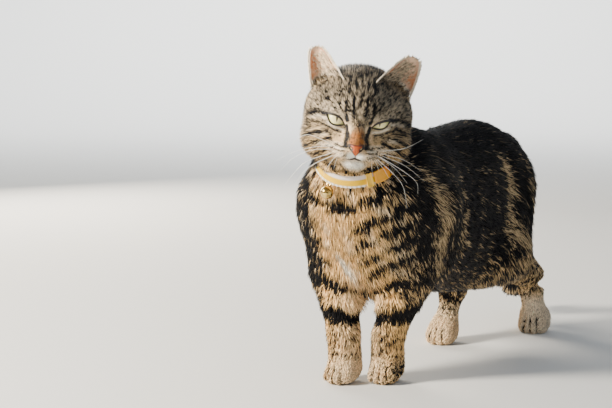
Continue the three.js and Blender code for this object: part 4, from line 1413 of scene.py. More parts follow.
# %% Eye, nose and lip materials
def eye_material():
    cornea = {"Coat_Weight": 1.0, "Coat_Roughness": 0.02, "Coat_IOR": 1.38}
    material, tree, shader = new_material("eye_iris", **cornea, Roughness=0.5)
    gaze = separated(tree, attribute(tree, "Gaze").outputs["Color"])
    beside, above = (math_node(tree, "MULTIPLY_ADD", gaze[k], 2.0, -1.0) for k in (0, 1))
    ring = math_node(tree, "SQRT", plus(tree, times(tree, beside, beside), times(tree, above, above)))
    at = tree.nodes.new("ShaderNodeCombineXYZ")
    put(tree, at.inputs[0], times(tree, math_node(tree, "ARCTAN2", above, beside), 9.0))
    put(tree, at.inputs[1], times(tree, ring, 2.2))
    spokes = noise(tree, at.outputs[0], 2.2, 4, 0.6)
    iris = mix(tree, scale_between(tree, ring, 0.15, 0.8), (1.0, 0.86, 0.42, 1), (0.90, 0.85, 0.36, 1))
    iris = mix(tree, scale_between(tree, spokes, 0.5, 0.8, 0.0, 0.45), iris, (0.62, 0.56, 0.20, 1))
    iris = mix(tree, scale_between(tree, ring, 0.78, 0.90), iris, (0.05, 0.05, 0.02, 1))
    slit_width = math_node(tree, "DIVIDE", beside, 0.085)
    slit_height = math_node(tree, "DIVIDE", math_node(tree, "SUBTRACT", above, 0.08), 0.42)
    lens = plus(tree, math_node(tree, "ABSOLUTE", slit_width), times(tree, slit_height, slit_height))
    behind = math_node(tree, "LESS_THAN", gaze[2], 0.5)
    pupil = math_node(tree, "MAXIMUM", scale_between(tree, lens, 1.12, 0.92), behind)
    put(tree, shader.inputs["Base Color"], mix(tree, pupil, iris, (0.004, 0.004, 0.004, 1)))
    relief(tree, shader, spokes, 0.0002, 0.3)
    return material


def leather_material():
    damp = {"Coat_Weight": 0.2, "Coat_Roughness": 0.25}
    flesh = {"Subsurface_Weight": 0.08, "Subsurface_Radius": (0.003, 0.001, 0.0006)}
    material, tree, shader = new_material("nose_leather_damp", **damp, **flesh)
    spot = object_place(tree)
    pebbles = tree.nodes.new("ShaderNodeTexVoronoi")
    put(tree, pebbles.inputs["Vector"], spot)
    pebbles.inputs["Scale"].default_value = 1500
    blotch = scale_between(tree, noise(tree, spot, 260, 3), 0.35, 0.7)
    pink = mix(tree, blotch, (0.42, 0.062, 0.003, 1), (0.62, 0.14, 0.008, 1))
    colour = mix(tree, attribute(tree, "Dark").outputs["Fac"], pink, (0.02, 0.010, 0.008, 1))
    pebble = pebbles.outputs["Distance"]
    surface(tree, shader, colour, scale_between(tree, pebble, 0, 0.6, 0.35, 0.55))
    relief(tree, shader, pebble, 0.0002, 0.6)
    return material


def dark_rim_material(name, color):
    material, tree, shader = new_material(name)
    creases = noise(tree, object_place(tree), 1800, 3)
    colour = mix(tree, creases, (*color, 1), (*[2.2 * c for c in color], 1))
    surface(tree, shader, colour, scale_between(tree, creases, 0.3, 0.7, 0.28, 0.5))
    relief(tree, shader, creases, 0.0002, 0.5)
    return material


iris_material = eye_material()
for ball in eyeballs.values():
    ball.data.materials.append(iris_material)
nose_leather.data.materials.append(leather_material())
mouth.data.materials.append(dark_rim_material("lip_skin", (0.030, 0.016, 0.014)))
lid_margins.data.materials.append(dark_rim_material("lid_skin", (0.012, 0.009, 0.008)))
print("materials:", len(bpy.data.materials))

# %% [markdown]
# ## The coat
#
# The hair is made of thin closed locks, each a flattened three-sided blade that bends once and
# ends in a point. They are grown from the skin in arrays, because nobody places a hundred
# thousand locks by hand: roots are spread evenly over the skin's triangles, and length, lift,
# combing and markings come from the skin under each root. Neighbouring tips draw together, as
# real hair gathers in locks, and hairs of one lock are mostly of one colour. On the head the
# hair is short and straight, so each tuft there is a tiny spike with only four faces.
# For the export's bake, each tuft gets a small patch on an unwrap of the skin it grows from.

# %% The skin as triangles
skin.data.calc_loop_triangles()
corners = np.empty(len(skin.data.loop_triangles) * 3, np.int32)
skin.data.loop_triangles.foreach_get("vertices", corners)
corners = corners.reshape(-1, 3)
# The cut leaves the faces of the eye sockets in an order that changes from run to run.
from_eye = np.min([np.linalg.norm(places - np.array(eye_centre[side]), axis=1) for side in SIDES], axis=0)
in_socket = np.flatnonzero((from_eye < eye_radius + 0.5 * MM)[corners].all(1))
corners[in_socket] = corners[in_socket][np.lexsort(corners[in_socket].T)]
sides = places[corners]
areas = np.linalg.norm(np.cross(sides[:, 1] - sides[:, 0], sides[:, 2] - sides[:, 0]), axis=1) / 2
tri_kind = kind_of[corners[:, 0]]
tri_middle = sides.mean(1) / MM
tri_face = to_head(sides.mean(1))


def unwrap(index):
    """Lays some triangles of the skin flat and returns where their corners come to lie."""
    used, renamed = np.unique(corners[index], return_inverse=True)
    flat = mesh_piece("unwrapped", places[used], renamed.reshape(-1, 3))
    edit(flat, bpy.ops.uv.smart_project, angle_limit=math.radians(60), island_margin=0.004)
    uv = np.empty(len(index) * 6, np.float32)
    flat.data.uv_layers.active.data.foreach_get("uv", uv)
    bpy.data.meshes.remove(flat.data)
    return uv.reshape(-1, 3, 2)


# %% Blades
PATCH = 0.003  # width of a tuft's place on the unwrapped skin
SPIKE_PATCH = np.array([(-0.5, -0.5), (0.5, -0.5), (0, -0.25), (0, 0.5)]) * PATCH
LOCK_PATCH = PATCH * np.array(
    [(-0.5, -0.5), (0.5, -0.5), (0, -0.3), (-0.4, 0.1), (0.4, 0.1), (0, 0.2), (0, 0.5)]
)
SPIKE_FACES = np.array([(0, 2, 1), (0, 1, 3), (1, 2, 3), (2, 0, 3)])
LOCK_FACES = np.array([
    (0, 2, 1), (0, 1, 4), (0, 4, 3), (1, 2, 5), (1, 5, 4), (2, 0, 3), (2, 3, 5),
    (3, 4, 6), (4, 5, 6), (5, 3, 6),
])
FLOOR_GAP = 0.0003  # no hair comes nearer to the floor than this


def unit(vectors):
    return vectors / np.maximum(np.linalg.norm(vectors, axis=1), 1e-9)[:, None]


def blades(name, root, knee, tip, normal, half, masks, luck, spots, straight=False):
    """One piece of closed blades from arrays of roots, knees, tips and half widths."""
    count, half = len(root), half[:, None]
    side = unit(np.cross(normal, knee - root))
    over = unit(np.cross(knee - root, side))
    start = root - normal * 0.5 * MM
    foot = [start - side * half, start + side * half, start + over * half * 0.9]
    if straight:
        points, faces, patch, along = foot + [tip], SPIKE_FACES, SPIKE_PATCH, [0, 0, 0, 1]
    else:
        bend = [knee - side * half * 0.85, knee + side * half * 0.85, knee + over * half * 0.75]
        points, faces, patch = foot + bend + [tip], LOCK_FACES, LOCK_PATCH
        along = [0, 0, 0, 0.5, 0.5, 0.5, 1]
    points = np.stack(points, 1)
    points[:, :, 2] = np.maximum(points[:, :, 2], FLOOR_GAP)
    each = points.shape[1]
    all_faces = (faces[None] + (np.arange(count) * each)[:, None, None]).reshape(-1, 3)
    piece = mesh_piece(name, points.reshape(-1, 3), all_faces)
    store(piece.data, "Marks", np.repeat(masks, each, 0), "FLOAT_COLOR")
    strand = np.column_stack([np.tile(along, count), np.repeat(luck, each, 0), np.ones(count * each)])
    store(piece.data, "Strand", strand, "FLOAT_COLOR")
    patches = (spots[:, None, :] + patch[None]).reshape(-1, 2)
    uv = piece.data.uv_layers.new(name="OFBake")
    uv.data.foreach_set("uv", patches[all_faces.ravel()].astype(np.float32).ravel())
    piece.data.materials.append(hair_material)
    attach(piece, "root")
    return piece


# %% Growing locks
def gather(roots, size, seed):
    """For each root, the middle of the roots in its neighbourhood, and that neighbourhood's chance."""
    rng = np.random.default_rng(seed)
    uneven = np.column_stack([wander(roots / MM, 3 * size / MM, seed + k) for k in (1, 2, 3)])
    cells = np.floor((roots + rng.uniform(0, size, 3)) / size + 0.3 * uneven).astype(np.int64)
    _, member = np.unique(cells @ np.array([1, 100003, 7777777]), return_inverse=True)
    number = np.bincount(member)
    middle = np.stack([np.bincount(member, c) / number for c in roots.T], 1)
    return middle[member], rng.uniform(0, 1, len(number))[member]


skin_tree = BVHTree.FromPolygons(places.tolist(), corners.tolist())


def marks_at(spots):
    """The masks of the skin that lies under each place."""
    return marks[corners[[skin_tree.find_nearest(spot)[2] for spot in spots]]].mean(1)


def grow(name, chosen, count, width, seed, straight=False, together=0.4, patchy=2.3, alike=0.45):
    """Grows locks on the chosen triangles of the skin.

    Tips draw together by a share; tufts of patchy mm take their chance alike by another share.
    """
    rng = np.random.default_rng(seed)
    index = np.flatnonzero(chosen)
    heap = np.cumsum(areas[index])
    pick = (np.arange(count) + rng.uniform(0, 1, count)) / count * heap[-1]
    order = np.minimum(np.searchsorted(heap, pick), len(index) - 1)
    u, v = rng.uniform(0, 1, (2, count))
    fold = u + v > 1
    u[fold], v[fold] = 1 - u[fold], 1 - v[fold]
    weights = np.column_stack([1 - u - v, u, v])
    under = corners[index[order]]

    def at(values):
        return (values[under] * (weights[:, :, None] if values.ndim == 2 else weights)).sum(1)

    root, normal = at(places), unit(at(normals))
    comb = at(flow) + rng.normal(0, 0.14, (count, 3))
    comb = unit(comb - normal * (comb * normal).sum(1)[:, None])
    reach = at(length) * MM * rng.uniform(0.72, 1.15, count)
    tilt = np.radians(at(lift)) * rng.uniform(0.75, 1.25, count)
    tilt[rng.uniform(0, 1, count) > 0.95] *= 1.3
    low = tilt * 0.35  # beyond its bend a lock lies flatter
    first = comb * np.cos(tilt)[:, None] + normal * np.sin(tilt)[:, None]
    second = comb * np.cos(low)[:, None] + normal * np.sin(low)[:, None]
    half = width * MM / 2 * rng.uniform(0.75, 1.25, count)
    knee = root + first * (reach * 0.45)[:, None]
    tip = knee + second * (reach * 0.55)[:, None]
    clump = gather(root, 0.55 * float(reach.mean()) + 1.5 * MM, seed + 50)[0] - root
    clump -= normal * (clump * normal).sum(1)[:, None]
    tip += together * clump
    knee += together * 0.35 * clump
    shared = gather(root, patchy * MM, seed + 90)[1]
    luck = np.column_stack([lay_over(rng.uniform(0, 1, count), shared, alike), rng.uniform(0, 1, count)])
    spots = (unwrap(index)[order] * weights[:, :, None]).sum(1)
    clear = at(to_slit) > 1.0
    masks = at(marks) if straight else marks_at(root + 0.65 * (tip - root))  # a lock shows near its tip
    parts = [values[clear] for values in (root, knee, tip, normal, half, masks, luck, spots)]
    piece = blades(name, *parts, straight=straight)
    print(name, len(piece.data.polygons), "triangles")


hair_material = coat_material("tabby_hair")
left_side = tri_middle[:, 0] > 0
on_front = (tri_middle[:, 1] < -118) & np.isin(tri_kind, ["chest", "shoulder"])
on_flank = np.isin(tri_kind, ["chest", "belly", "shoulder"]) & ~on_front
on_haunch = np.isin(tri_kind, ["rump", "thigh"])
the_face = np.isin(tri_kind, ["head", "nose"]) & (tri_face[:, 1] < -8)
bare_nose = ramp(np.linalg.norm((tri_face[:, [0, 2]] - NOSE_MIDDLE) / [8.2, 6.2], axis=1), 1, 1.01) < 0.5
the_face &= ~(bare_nose & (tri_face[:, 1] < -44))
REGIONS = {  # name: (triangles, locks, width mm)
    "coat_breast": (on_front, 18500, 1.2),
    "coat_flank_left": (on_flank & left_side, 18500, 1.25),
    "coat_flank_right": (on_flank & ~left_side, 14800, 1.35),
    "coat_haunch_left": (on_haunch & left_side, 15000, 1.3),
    "coat_haunch_right": (on_haunch & ~left_side, 12500, 1.35),
    "coat_neck": (tri_kind == "neck", 13500, 1.15),
    "coat_forelegs": (np.isin(tri_kind, ["foreleg", "forepaw"]), 13500, 0.85),
    "coat_hindlegs": (np.isin(tri_kind, ["hindleg", "hindpaw"]), 8500, 0.9),
    "coat_tail": (tri_kind == "tail", 6000, 1.2),
}
for seed, (name, (chosen, count, width)) in enumerate(REGIONS.items()):
    grow(name, chosen, count, width, seed)

# %% Hair of the head
on_crown = (tri_kind == "ear") | ((tri_kind == "head") & (tri_face[:, 1] >= -8))
grow("coat_face", the_face, 40000, 0.55, 21, straight=True, together=0.08, patchy=1.45, alike=0.7)
grow("coat_crown", on_crown, 21000, 0.7, 22, straight=True, together=0.15, patchy=1.7, alike=0.8)


# %% [markdown]
# ## The ruff over the collar, and the hair in the ears
#
# The long hair of the neck falls over the strap of the collar and hides all of it behind the
# clasp. These locks are placed from the strap itself: each has its root above the upper edge,
# passes over the strap and ends beside its lower edge. In the ears, long cream hairs spring from
# the inner edge and cross the opening.

# %% The line of the strap
COLLAR_CENTRE = np.array([8.2, -173.7, 218.0])
COLLAR_DEEP, COLLAR_WIDE, STRAP_FLARE = 43, 36, math.radians(24)
STRAP_WIDTH, STRAP_THICK = 12, 2
COLLAR_NORMAL = np.array([0.23, -0.52, 0.82]) / np.linalg.norm([0.23, -0.52, 0.82])
ACROSS = np.array([1, 0, 0]) - COLLAR_NORMAL * COLLAR_NORMAL[0]
ACROSS /= np.linalg.norm(ACROSS)
THROAT = np.cross(ACROSS, COLLAR_NORMAL)


def strap_place(angle):
    """Points in mm of the strap's inner face, from angles round it, with the ways out, up and along."""
    c, s = np.cos(angle)[:, None], np.sin(angle)[:, None]
    point = COLLAR_CENTRE + THROAT * COLLAR_DEEP * c + ACROSS * COLLAR_WIDE * s
    along = unit(-THROAT * COLLAR_DEEP * s + ACROSS * COLLAR_WIDE * c)
    radial = unit(np.cross(along, COLLAR_NORMAL))
    out = radial * math.cos(STRAP_FLARE) + COLLAR_NORMAL * math.sin(STRAP_FLARE)
    up = -radial * math.sin(STRAP_FLARE) + COLLAR_NORMAL * math.cos(STRAP_FLARE)
    return point, out, up, along


def skin_under(points, chosen):
    """Masks, and places on the unwrap, of the chosen skin nearest to each point."""
    index = np.flatnonzero(chosen)
    tree = BVHTree.FromPolygons(places.tolist(), corners[index].tolist())
    nearest = np.array([tree.find_nearest(p)[2] for p in points])
    return marks[corners[index[nearest]]].mean(1), unwrap(index)[nearest].mean(1)


middle = sum(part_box("collar_strap"), Vector()) / 2 / MM
print("strap centre:", COLLAR_CENTRE, "solid's centre:", [round(c, 1) for c in middle])

# %% Locks over the strap
rng = np.random.default_rng(31)
count = 3000
turn = np.radians(rng.uniform(-180, 180, count))
behind = np.maximum(ramp(np.degrees(turn), 66, 74), ramp(np.degrees(turn), -36, -52))
point, out, up, along = strap_place(turn)


def by_strap(rise, away, sideways=0.0):
    shift = np.asarray(sideways + np.zeros(count))
    return (point + up * rise[:, None] + out * away[:, None] + along * shift[:, None]) * MM


drift = rng.normal(0, 1.6, count) - 1.5 * np.sin(turn)
root = by_strap(rng.uniform(8, 12.5, count), rng.uniform(-5, -2, count))
rise = lay_over(rng.uniform(6, 8, count), rng.uniform(3, 6, count), behind)
knee = by_strap(rise, 3.0 + rng.uniform(0, 1, count), 0.4 * drift)
rise = rng.uniform(5.0, 8.0, count) - 4.5 * ramp(turn, -0.15, -0.5)
rise = lay_over(rise, rng.uniform(-12, -5, count), behind)
tip = by_strap(rise, lay_over(rng.uniform(2.6, 3.6, count), rng.uniform(2.3, 4.2, count), behind), drift)
masks, spots = skin_under(root, tri_kind == "neck")
chance = 0.55 * gather(root, 3 * MM, 33)[1] + 0.45 * rng.uniform(0, 1, count)
luck = np.column_stack([chance, rng.uniform(0, 1, count)])
ruff = blades("coat_ruff", root, knee, tip, out, np.full(count, 0.6 * MM), masks, luck, spots)
print("coat_ruff", len(ruff.data.polygons), "triangles")

# %% Hair in the ears
EAR_GREY = {"left": 0.13, "right": 0.06}  # the hair in the left ear is darker
count, on_rim = 1100, 320  # hairs in each ear, of which the first ones stand on its rim
rim = np.arange(count) < on_rim
parts, masks = [], []
for side in SIDES:
    rng = np.random.default_rng(41)
    up_ear, wide, back = ear_frame(side)
    upwards = unit(up_ear[None])
    t = rng.uniform(0.1, 0.86, count) ** 1.1
    share = rng.uniform(0, 1, count) ** 0.7 * 1.8 - 0.84  # most towards the inner edge
    t[rim], share[rim] = rng.uniform(0.2, 1.0, on_rim), np.repeat([-1.0, 1.0], on_rim // 2)
    half_width = EAR_HALF_WIDTH[side] * (1 - t**1.5) ** 0.4
    hollow = (EAR_DEEP * (1 - 0.82 * t) - EAR_WALL) * np.sqrt(1 - share**2)
    root = EAR_BASE[side] + np.outer(t, up_ear) - np.outer(4 * t * t, back)
    root += np.outer((half_width + rim) * share, wide) + np.outer(hollow, back)
    root += inner_edge(side, share, t, wide, back)
    way = upwards * (0.7 + 0.5 * t)[:, None] - wide * (0.75 - 0.3 * t)[:, None] - back * 0.45
    way = unit(way + rng.normal(0, 0.12, (count, 3)))
    reach = (11 - 7 * t) * rng.uniform(0.5, 1.15, count) * (0.45 + 0.55 * ramp(share, -0.6, 0.5))
    way[rim] = unit(0.9 * upwards + np.outer(share[rim], 0.45 * wide) - 0.25 * back)
    reach[rim] = rng.uniform(1.8, 3.2, on_rim)
    knee = root + way * (reach * 0.5)[:, None]
    tip = knee + unit(way + upwards * 0.3 - back * 0.1) * (reach * 0.5)[:, None]
    way_out = np.repeat(-back[None], count, 0) * MIRROR[side]
    grey = EAR_GREY[side]
    masks.append(np.tile([grey, 0.8 - grey, 0.55 - 0.7 * grey, 0.0], (count, 1)))
    masks[-1][rim] = 0, 0.9, 0.7, 0
    parts.append([from_head(p * MIRROR[side]) for p in (root, knee, tip)] + [way_out @ HEAD.T])
root, knee, tip, way_out = (np.concatenate(p) for p in zip(*parts))
masks = np.concatenate(masks)
spots = skin_under(root, tri_kind == "ear")[1]
luck = rng.uniform(0, 1, (2 * count, 2))
half = np.tile(np.where(rim, 0.42, 0.22), 2) * MM
ear_hair = blades("coat_in_ears", root, knee, tip, way_out, half, masks, luck, spots)
print("coat_in_ears", len(ear_hair.data.polygons), "triangles")

# %% [markdown]
# ## Whiskers
#
# Whiskers are far thicker than hair, stiff and white. Each one is a thin tapering bar along a
# bent line from its pad. There are four rows on each side.

# %% Whiskers
WHISKERS = {  # root and further places, in the head's frame in mm
    "left": [
        [(19, -44, -27), (34, -40, -38), (45, -33, -50), (51, -28, -69)],
        [(21, -43, -25), (40, -38, -34), (56, -28, -45), (59, -24, -56)],
        [(23, -42, -24), (44, -36, -31), (64, -20, -45)],
        [(22, -43, -22), (42, -37, -26), (60, -22, -36)],
        [(23, -41, -20), (42, -36, -16), (58, -22, -8)],
        [(19, -45, -24), (36, -42, -34), (48, -36, -46)],
        [(14, -48, -27), (16, -47, -38)],
        [(16, -47, -27), (19, -46, -31), (22, -44, -37)],
        [(18, -46, -27.5), (25, -45, -34), (31, -42, -42)],
    ],
    "right": [
        [(-20, -44, -20), (-37, -44, -23), (-54, -42, -30), (-66, -38, -39)],
        [(-20, -44, -23), (-36, -45, -25), (-52, -43, -34), (-63, -40, -48)],
        [(-20, -44, -26), (-41, -45, -36), (-52, -43, -50), (-58, -40, -61)],
        [(-19, -45, -28), (-34, -46, -37), (-43, -45, -46), (-50, -42, -62)],
        [(-22, -43, -18), (-42, -42, -13), (-52, -38, -20), (-55, -36, -26)],
        [(-16, -47, -27), (-22, -48, -37), (-25, -47, -46)],
        [(-15, -47, -28), (-17, -47, -39)],
    ],
}


def bent_line(points, count=18):
    """A smooth line through a few points."""
    points = np.array(points, float)
    ends = np.concatenate([[2 * points[0] - points[1]], points, [2 * points[-1] - points[-2]]])
    t = np.linspace(0, len(points) - 1, count)
    k = np.minimum(t.astype(int), len(points) - 2)
    f = (t - k)[:, None]
    a, b, c, d = (ends[k + i] for i in range(4))
    return 0.5 * (2 * b + (c - a) * f + (2 * a - 5 * b + 4 * c - d) * f**2 + (3 * b - a - 3 * c + d) * f**3)


bars = []
for side, lines in WHISKERS.items():
    for line in lines:
        path = bent_line(line)
        thick = 0.30 if len(line) > 3 else 0.2
        bars.append(tube_arrays(from_head(path), np.linspace(thick, 0.06, len(path)) * MM, 6))
whiskers = mesh_piece("whiskers", *join_arrays(bars))
recalculate(whiskers)
material, tree, shader = new_material("whisker_horn", Specular_IOR_Level=0.6, Subsurface_Weight=0.1)
streak = noise(tree, object_place(tree), 500, 2)
colour = mix(tree, streak, (0.97, 0.95, 0.90, 1), (0.80, 0.76, 0.68, 1))
surface(tree, shader, colour, scale_between(tree, streak, 0.3, 0.7, 0.25, 0.4))
whiskers.data.materials.append(material)
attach(whiskers, "root")
print("whiskers:", len(bars))

# %% [markdown]
# ## The collar
#
# The collar is woven nylon: a pale reflective band along the top, a broad yellow band, and a
# white stitched edge with small scallops below. It starts as a flat grid, as a ribbon would:
# the grid is bent round the line of the strap, its ends are merged, its lower edge is scalloped,
# and Solidify gives it its thickness. The ribbon's own flat map keeps the weave straight.

# %% Strap
LENGTH_OF_STRAP = 2 * math.pi * math.sqrt((COLLAR_DEEP**2 + COLLAR_WIDE**2) / 2)
SCALLOPS = 62
strap = added(bpy.ops.mesh.primitive_grid_add, x_subdivisions=496, y_subdivisions=12, size=1)
strap.name = "collar_webbing"
flat = points_of(strap.data)
round_it, rise = flat[:, 0] * 2 * np.pi, flat[:, 1]
scallop = 0.55 * np.abs(np.sin(round_it * SCALLOPS / 2)) * ramp(rise, -0.3, -0.5)
point, out, up, along = strap_place(round_it)
seam_rib = 0.18 * bump_at(rise, -0.33, 0.03) + 0.14 * bump_at(rise, 0.13, 0.03)
height = rise * STRAP_WIDTH + scallop - 0.1
move_points(strap.data, (point + up * height[:, None] + out * (0.15 - seam_rib)[:, None]) * MM)
edit(strap, bpy.ops.mesh.remove_doubles, threshold=1e-6)
recalculate(strap)
foremost = np.abs(points_of(strap.data)[:, 1]).argmax()  # at the throat, where outwards is known
faces_out = normals_of(strap.data)[foremost] @ strap_place(np.zeros(1))[1][0] > 0
apply_modifier(strap, "SOLIDIFY", thickness=1.6 * MM, offset=1 if faces_out else -1)
rounded = {"limit_method": "ANGLE", "angle_limit": math.radians(50)}
apply_modifier(strap, "BEVEL", width=0.25 * MM, segments=2, **rounded)
bpy.ops.object.shade_smooth_by_angle(angle=math.radians(40))
print("strap:", len(strap.data.polygons), "faces,", round(LENGTH_OF_STRAP), "mm round")

# %% The weave
weave, given, made = new_group(
    "plain_weave", {"Map": "NodeSocketVector", "Threads along": FLOAT, "Threads across": FLOAT},
    {"Height": FLOAT, "Fibre": FLOAT},
)
at = separated(weave, given.outputs["Map"], "XYZ")
warp = times(weave, at[0], given.outputs["Threads along"])
weft = times(weave, at[1], given.outputs["Threads across"])
humps = [math_node(weave, "SINE", times(weave, way, math.pi)) for way in (warp, weft)]
humps = [math_node(weave, "ABSOLUTE", hump) for hump in humps]
square = plus(weave, math_node(weave, "FLOOR", warp), math_node(weave, "FLOOR", weft))
over = math_node(weave, "ABSOLUTE", math_node(weave, "MODULO", square, 2.0))
under = math_node(weave, "SUBTRACT", 1.0, over)
put(weave, made.inputs["Height"], plus(weave, times(weave, humps[0], over), times(weave, humps[1], under)))
put(weave, made.inputs["Fibre"], noise(weave, given.outputs["Map"], 900, 2))


def waves(tree, value, count):
    """A sine that runs through count waves while the value goes from 0 to 1."""
    return math_node(tree, "SINE", times(tree, value, count * 2 * math.pi))


def line_at(tree, value, place, inside, outside):
    """1 near one place and 0 away from it."""
    off = math_node(tree, "ABSOLUTE", math_node(tree, "SUBTRACT", value, place))
    return scale_between(tree, off, outside, inside)


material, tree, shader = new_material("webbing_yellow", Specular_IOR_Level=0.2)
ribbon = tree.nodes.new("ShaderNodeUVMap")
ribbon.uv_map = strap.data.uv_layers.active.name
threads = {"Threads along": 330.0, "Threads across": 16.0}
woven = use_group(tree, weave, Map=ribbon.outputs[0], **threads)
u, v = separated(tree, ribbon.outputs[0], "XYZ")[:2]
fibre = scale_between(tree, woven.outputs["Fibre"], 0.3, 0.7)
yellow = mix(tree, fibre, (0.90, 0.56, 0.0, 1), (0.84, 0.46, 0.0, 1))
pale_band = mix(tree, fibre, (0.92, 0.84, 0.78, 1), (0.82, 0.68, 0.62, 1))
scallop = scale_between(tree, waves(tree, u, SCALLOPS), -0.2, 0.5)
white_edge = mix(tree, scallop, (0.92, 0.90, 0.84, 1), (0.70, 0.60, 0.42, 1))
upper = scale_between(tree, v, 0.62, 0.64)
lower = scale_between(tree, v, 0.175, 0.155)
colour = mix(tree, lower, mix(tree, upper, yellow, pale_band), white_edge)
stitches = math_node(tree, "GREATER_THAN", waves(tree, u, 150), -0.3)
seams = [line_at(tree, v, place, 0.012, 0.022) for place in (0.595, 0.205)]
thread = times(tree, math_node(tree, "MAXIMUM", *seams), stitches)
colour = mix(tree, thread, colour, (0.96, 0.82, 0.40, 1))
# Painted shade: the low places of the weave, between the threads, are darkened.
hollow = scale_between(tree, woven.outputs["Height"], 0.0, 0.7, 0.3, 0.0)
colour = mix(tree, hollow, colour, (0.35, 0.2, 0.03, 1))
surface(tree, shader, colour, scale_between(tree, upper, 0, 1, 0.7, 0.38))
relief(tree, shader, plus(tree, woven.outputs["Height"], times(tree, thread, 1.5)), 0.0002, 0.8)
strap.data.materials.clear()
strap.data.materials.append(material)
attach(strap, "root")
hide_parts("collar_strap")

# %% [markdown]
# ## Clasp and slider
#
# The clasp is a rounded block of moulded plastic that bends with the strap, and beside it a
# slider loop takes up the spare length. Both start as cubes: the faces are inset and pushed in,
# Bevel rounds the corners, and then they are set on the strap's line.

# %% Moulded parts of the clasp
CLASP_ANGLE, SLIDER_ANGLE = 61, 42


def on_strap(piece, degrees):
    """Bends a piece, modelled flat in mm with x along, y up and z out, on to the strap's line."""
    local = points_of(piece.data)
    turn = math.radians(degrees) + local[:, 0] / 39.5
    point, out, up, _ = strap_place(turn)
    move_points(piece.data, (point + up * local[:, 1:2] + out * local[:, 2:3]) * MM)


def moulded_block(name, size, lift_off, panel, depth, round_by):
    """A block with rounded corners and a sunk panel on its outer face."""
    block = added(bpy.ops.mesh.primitive_cube_add, size=1, location=(0, 0, 0))
    block.name = name
    move_points(block.data, points_of(block.data) * size + [0, 0, lift_off])
    choose(block, "FACE", [polygon.normal.z > 0.9 for polygon in block.data.polygons])
    edit(block, bpy.ops.mesh.inset, whole=False, thickness=panel)
    edit(block, bpy.ops.transform.translate, whole=False, value=(0, 0, -depth))
    rounded = {"limit_method": "ANGLE", "angle_limit": math.radians(40)}
    apply_modifier(block, "BEVEL", width=round_by, segments=4, **rounded)
    edit(block, bpy.ops.mesh.subdivide, number_cuts=3)
    return block


buckle = moulded_block("clasp_buckle", (17.5, 12.4, 4.4), 2.3, 2.2, 0.7, 1.5)
bowed = points_of(buckle.data)
to_end = bowed[:, 0] / 8.75  # -1 and 1 at the ends of the clasp
bowed[:, 1] *= 1 - 0.10 * to_end**2
bowed[:, 2] -= 0.9 * to_end**4 * (bowed[:, 2] > 2.3)
move_points(buckle.data, bowed)
on_strap(buckle, CLASP_ANGLE)

slider = moulded_block("clasp_slider", (5.6, 13.6, 3.6), 1.9, 1.5, 1.0, 0.7)
on_strap(slider, SLIDER_ANGLE)


def plastic_material(name, main, end):
    """Moulded plastic, from one colour to a darker one up the clasp as painted shade, worn by fine
    scratches.
    """
    gloss = {"Specular_IOR_Level": 0.5, "Coat_Weight": 0.3, "Coat_Roughness": 0.15}
    material, tree, shader = new_material(name, **gloss, Subsurface_Weight=0.05)
    spot = object_place(tree)
    cloud = scale_between(tree, noise(tree, spot, 120, 3), 0.35, 0.7, 0, 0.35)
    scratches = noise(tree, spot, 2400, 4, 0.7)
    colour = mix(tree, attribute(tree, "Along").outputs["Fac"], (*main, 1), (*end, 1))
    colour = mix(tree, cloud, colour, (*[c * 0.8 for c in main], 1))
    surface(tree, shader, colour, scale_between(tree, scratches, 0.3, 0.75, 0.24, 0.48))
    relief(tree, shader, scratches, 0.0001, 0.4)
    return material


# Painted shade: each plastic turns from its main colour to its darker end colour towards its upper end.
PLASTICS = [(buckle, (0.88, 0.37, 0.0), (0.66, 0.09, 0.0)), (slider, (1.0, 0.58, 0.03), (1.0, 0.52, 0.02))]
for piece, main, end in PLASTICS:
    along_block = (points_of(piece.data) / MM - COLLAR_CENTRE) @ (0.6 * COLLAR_NORMAL - 0.9 * THROAT)
    along_block -= along_block.min()
    share = ramp(along_block / along_block.max(), 0.5, 0.9)
    recalculate(piece)
    bpy.ops.object.shade_smooth_by_angle(angle=math.radians(35))
    store(piece.data, "Along", share)
    piece.data.materials.append(plastic_material(f"{piece.name}_plastic", main, end))
    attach(piece, "root")
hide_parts("collar_clasp")
print("clasp:", len(buckle.data.polygons) + len(slider.data.polygons), "faces")

# %% [markdown]
# ## The bell
#
# The bell is a hollow brass ball with a slot across its lower half that ends in two round holes.
# A ridge runs round its middle where the two halves are pressed together, and a wire ring hangs
# it from an eyelet on the strap. It starts as a ball, and Solidify and Boolean do the rest.

# %% Bell
BELL_ANGLE, BELL_LEAN, BELL_RADIUS = -13, 0.35, 5.9
bell_point, bell_out, bell_up, _ = (v[0] for v in strap_place(np.radians([BELL_ANGLE])))
hang = bell_point - bell_up * STRAP_WIDTH / 2 + bell_out * STRAP_THICK / 2
level = np.array([bell_out[0], bell_out[1], 0])
level /= np.linalg.norm(level)
upwards = np.array([0, 0, 1]) - BELL_LEAN * level
upwards /= np.linalg.norm(upwards)
beside = np.cross(level, upwards)
beside /= np.linalg.norm(beside)
BELL_AXES = np.array([beside, np.cross(upwards, beside), upwards])


def hang_on_strap(piece):
    """Moves a piece, modelled in mm about the strap's lower edge with z up, to its place."""
    move_points(piece.data, (points_of(piece.data) @ BELL_AXES + hang) * MM)


def placed(make, **settings):
    """The object that an operator adds, with its place and turn taken up in its points."""
    piece = added(make, **settings)
    bpy.ops.object.transform_apply(location=True, rotation=True, scale=True)
    return piece


def ring(major, minor, place, turn):
    size = {"major_radius": major, "minor_radius": minor, "major_segments": 64, "minor_segments": 14}
    return placed(bpy.ops.mesh.primitive_torus_add, **size, location=place, rotation=turn)


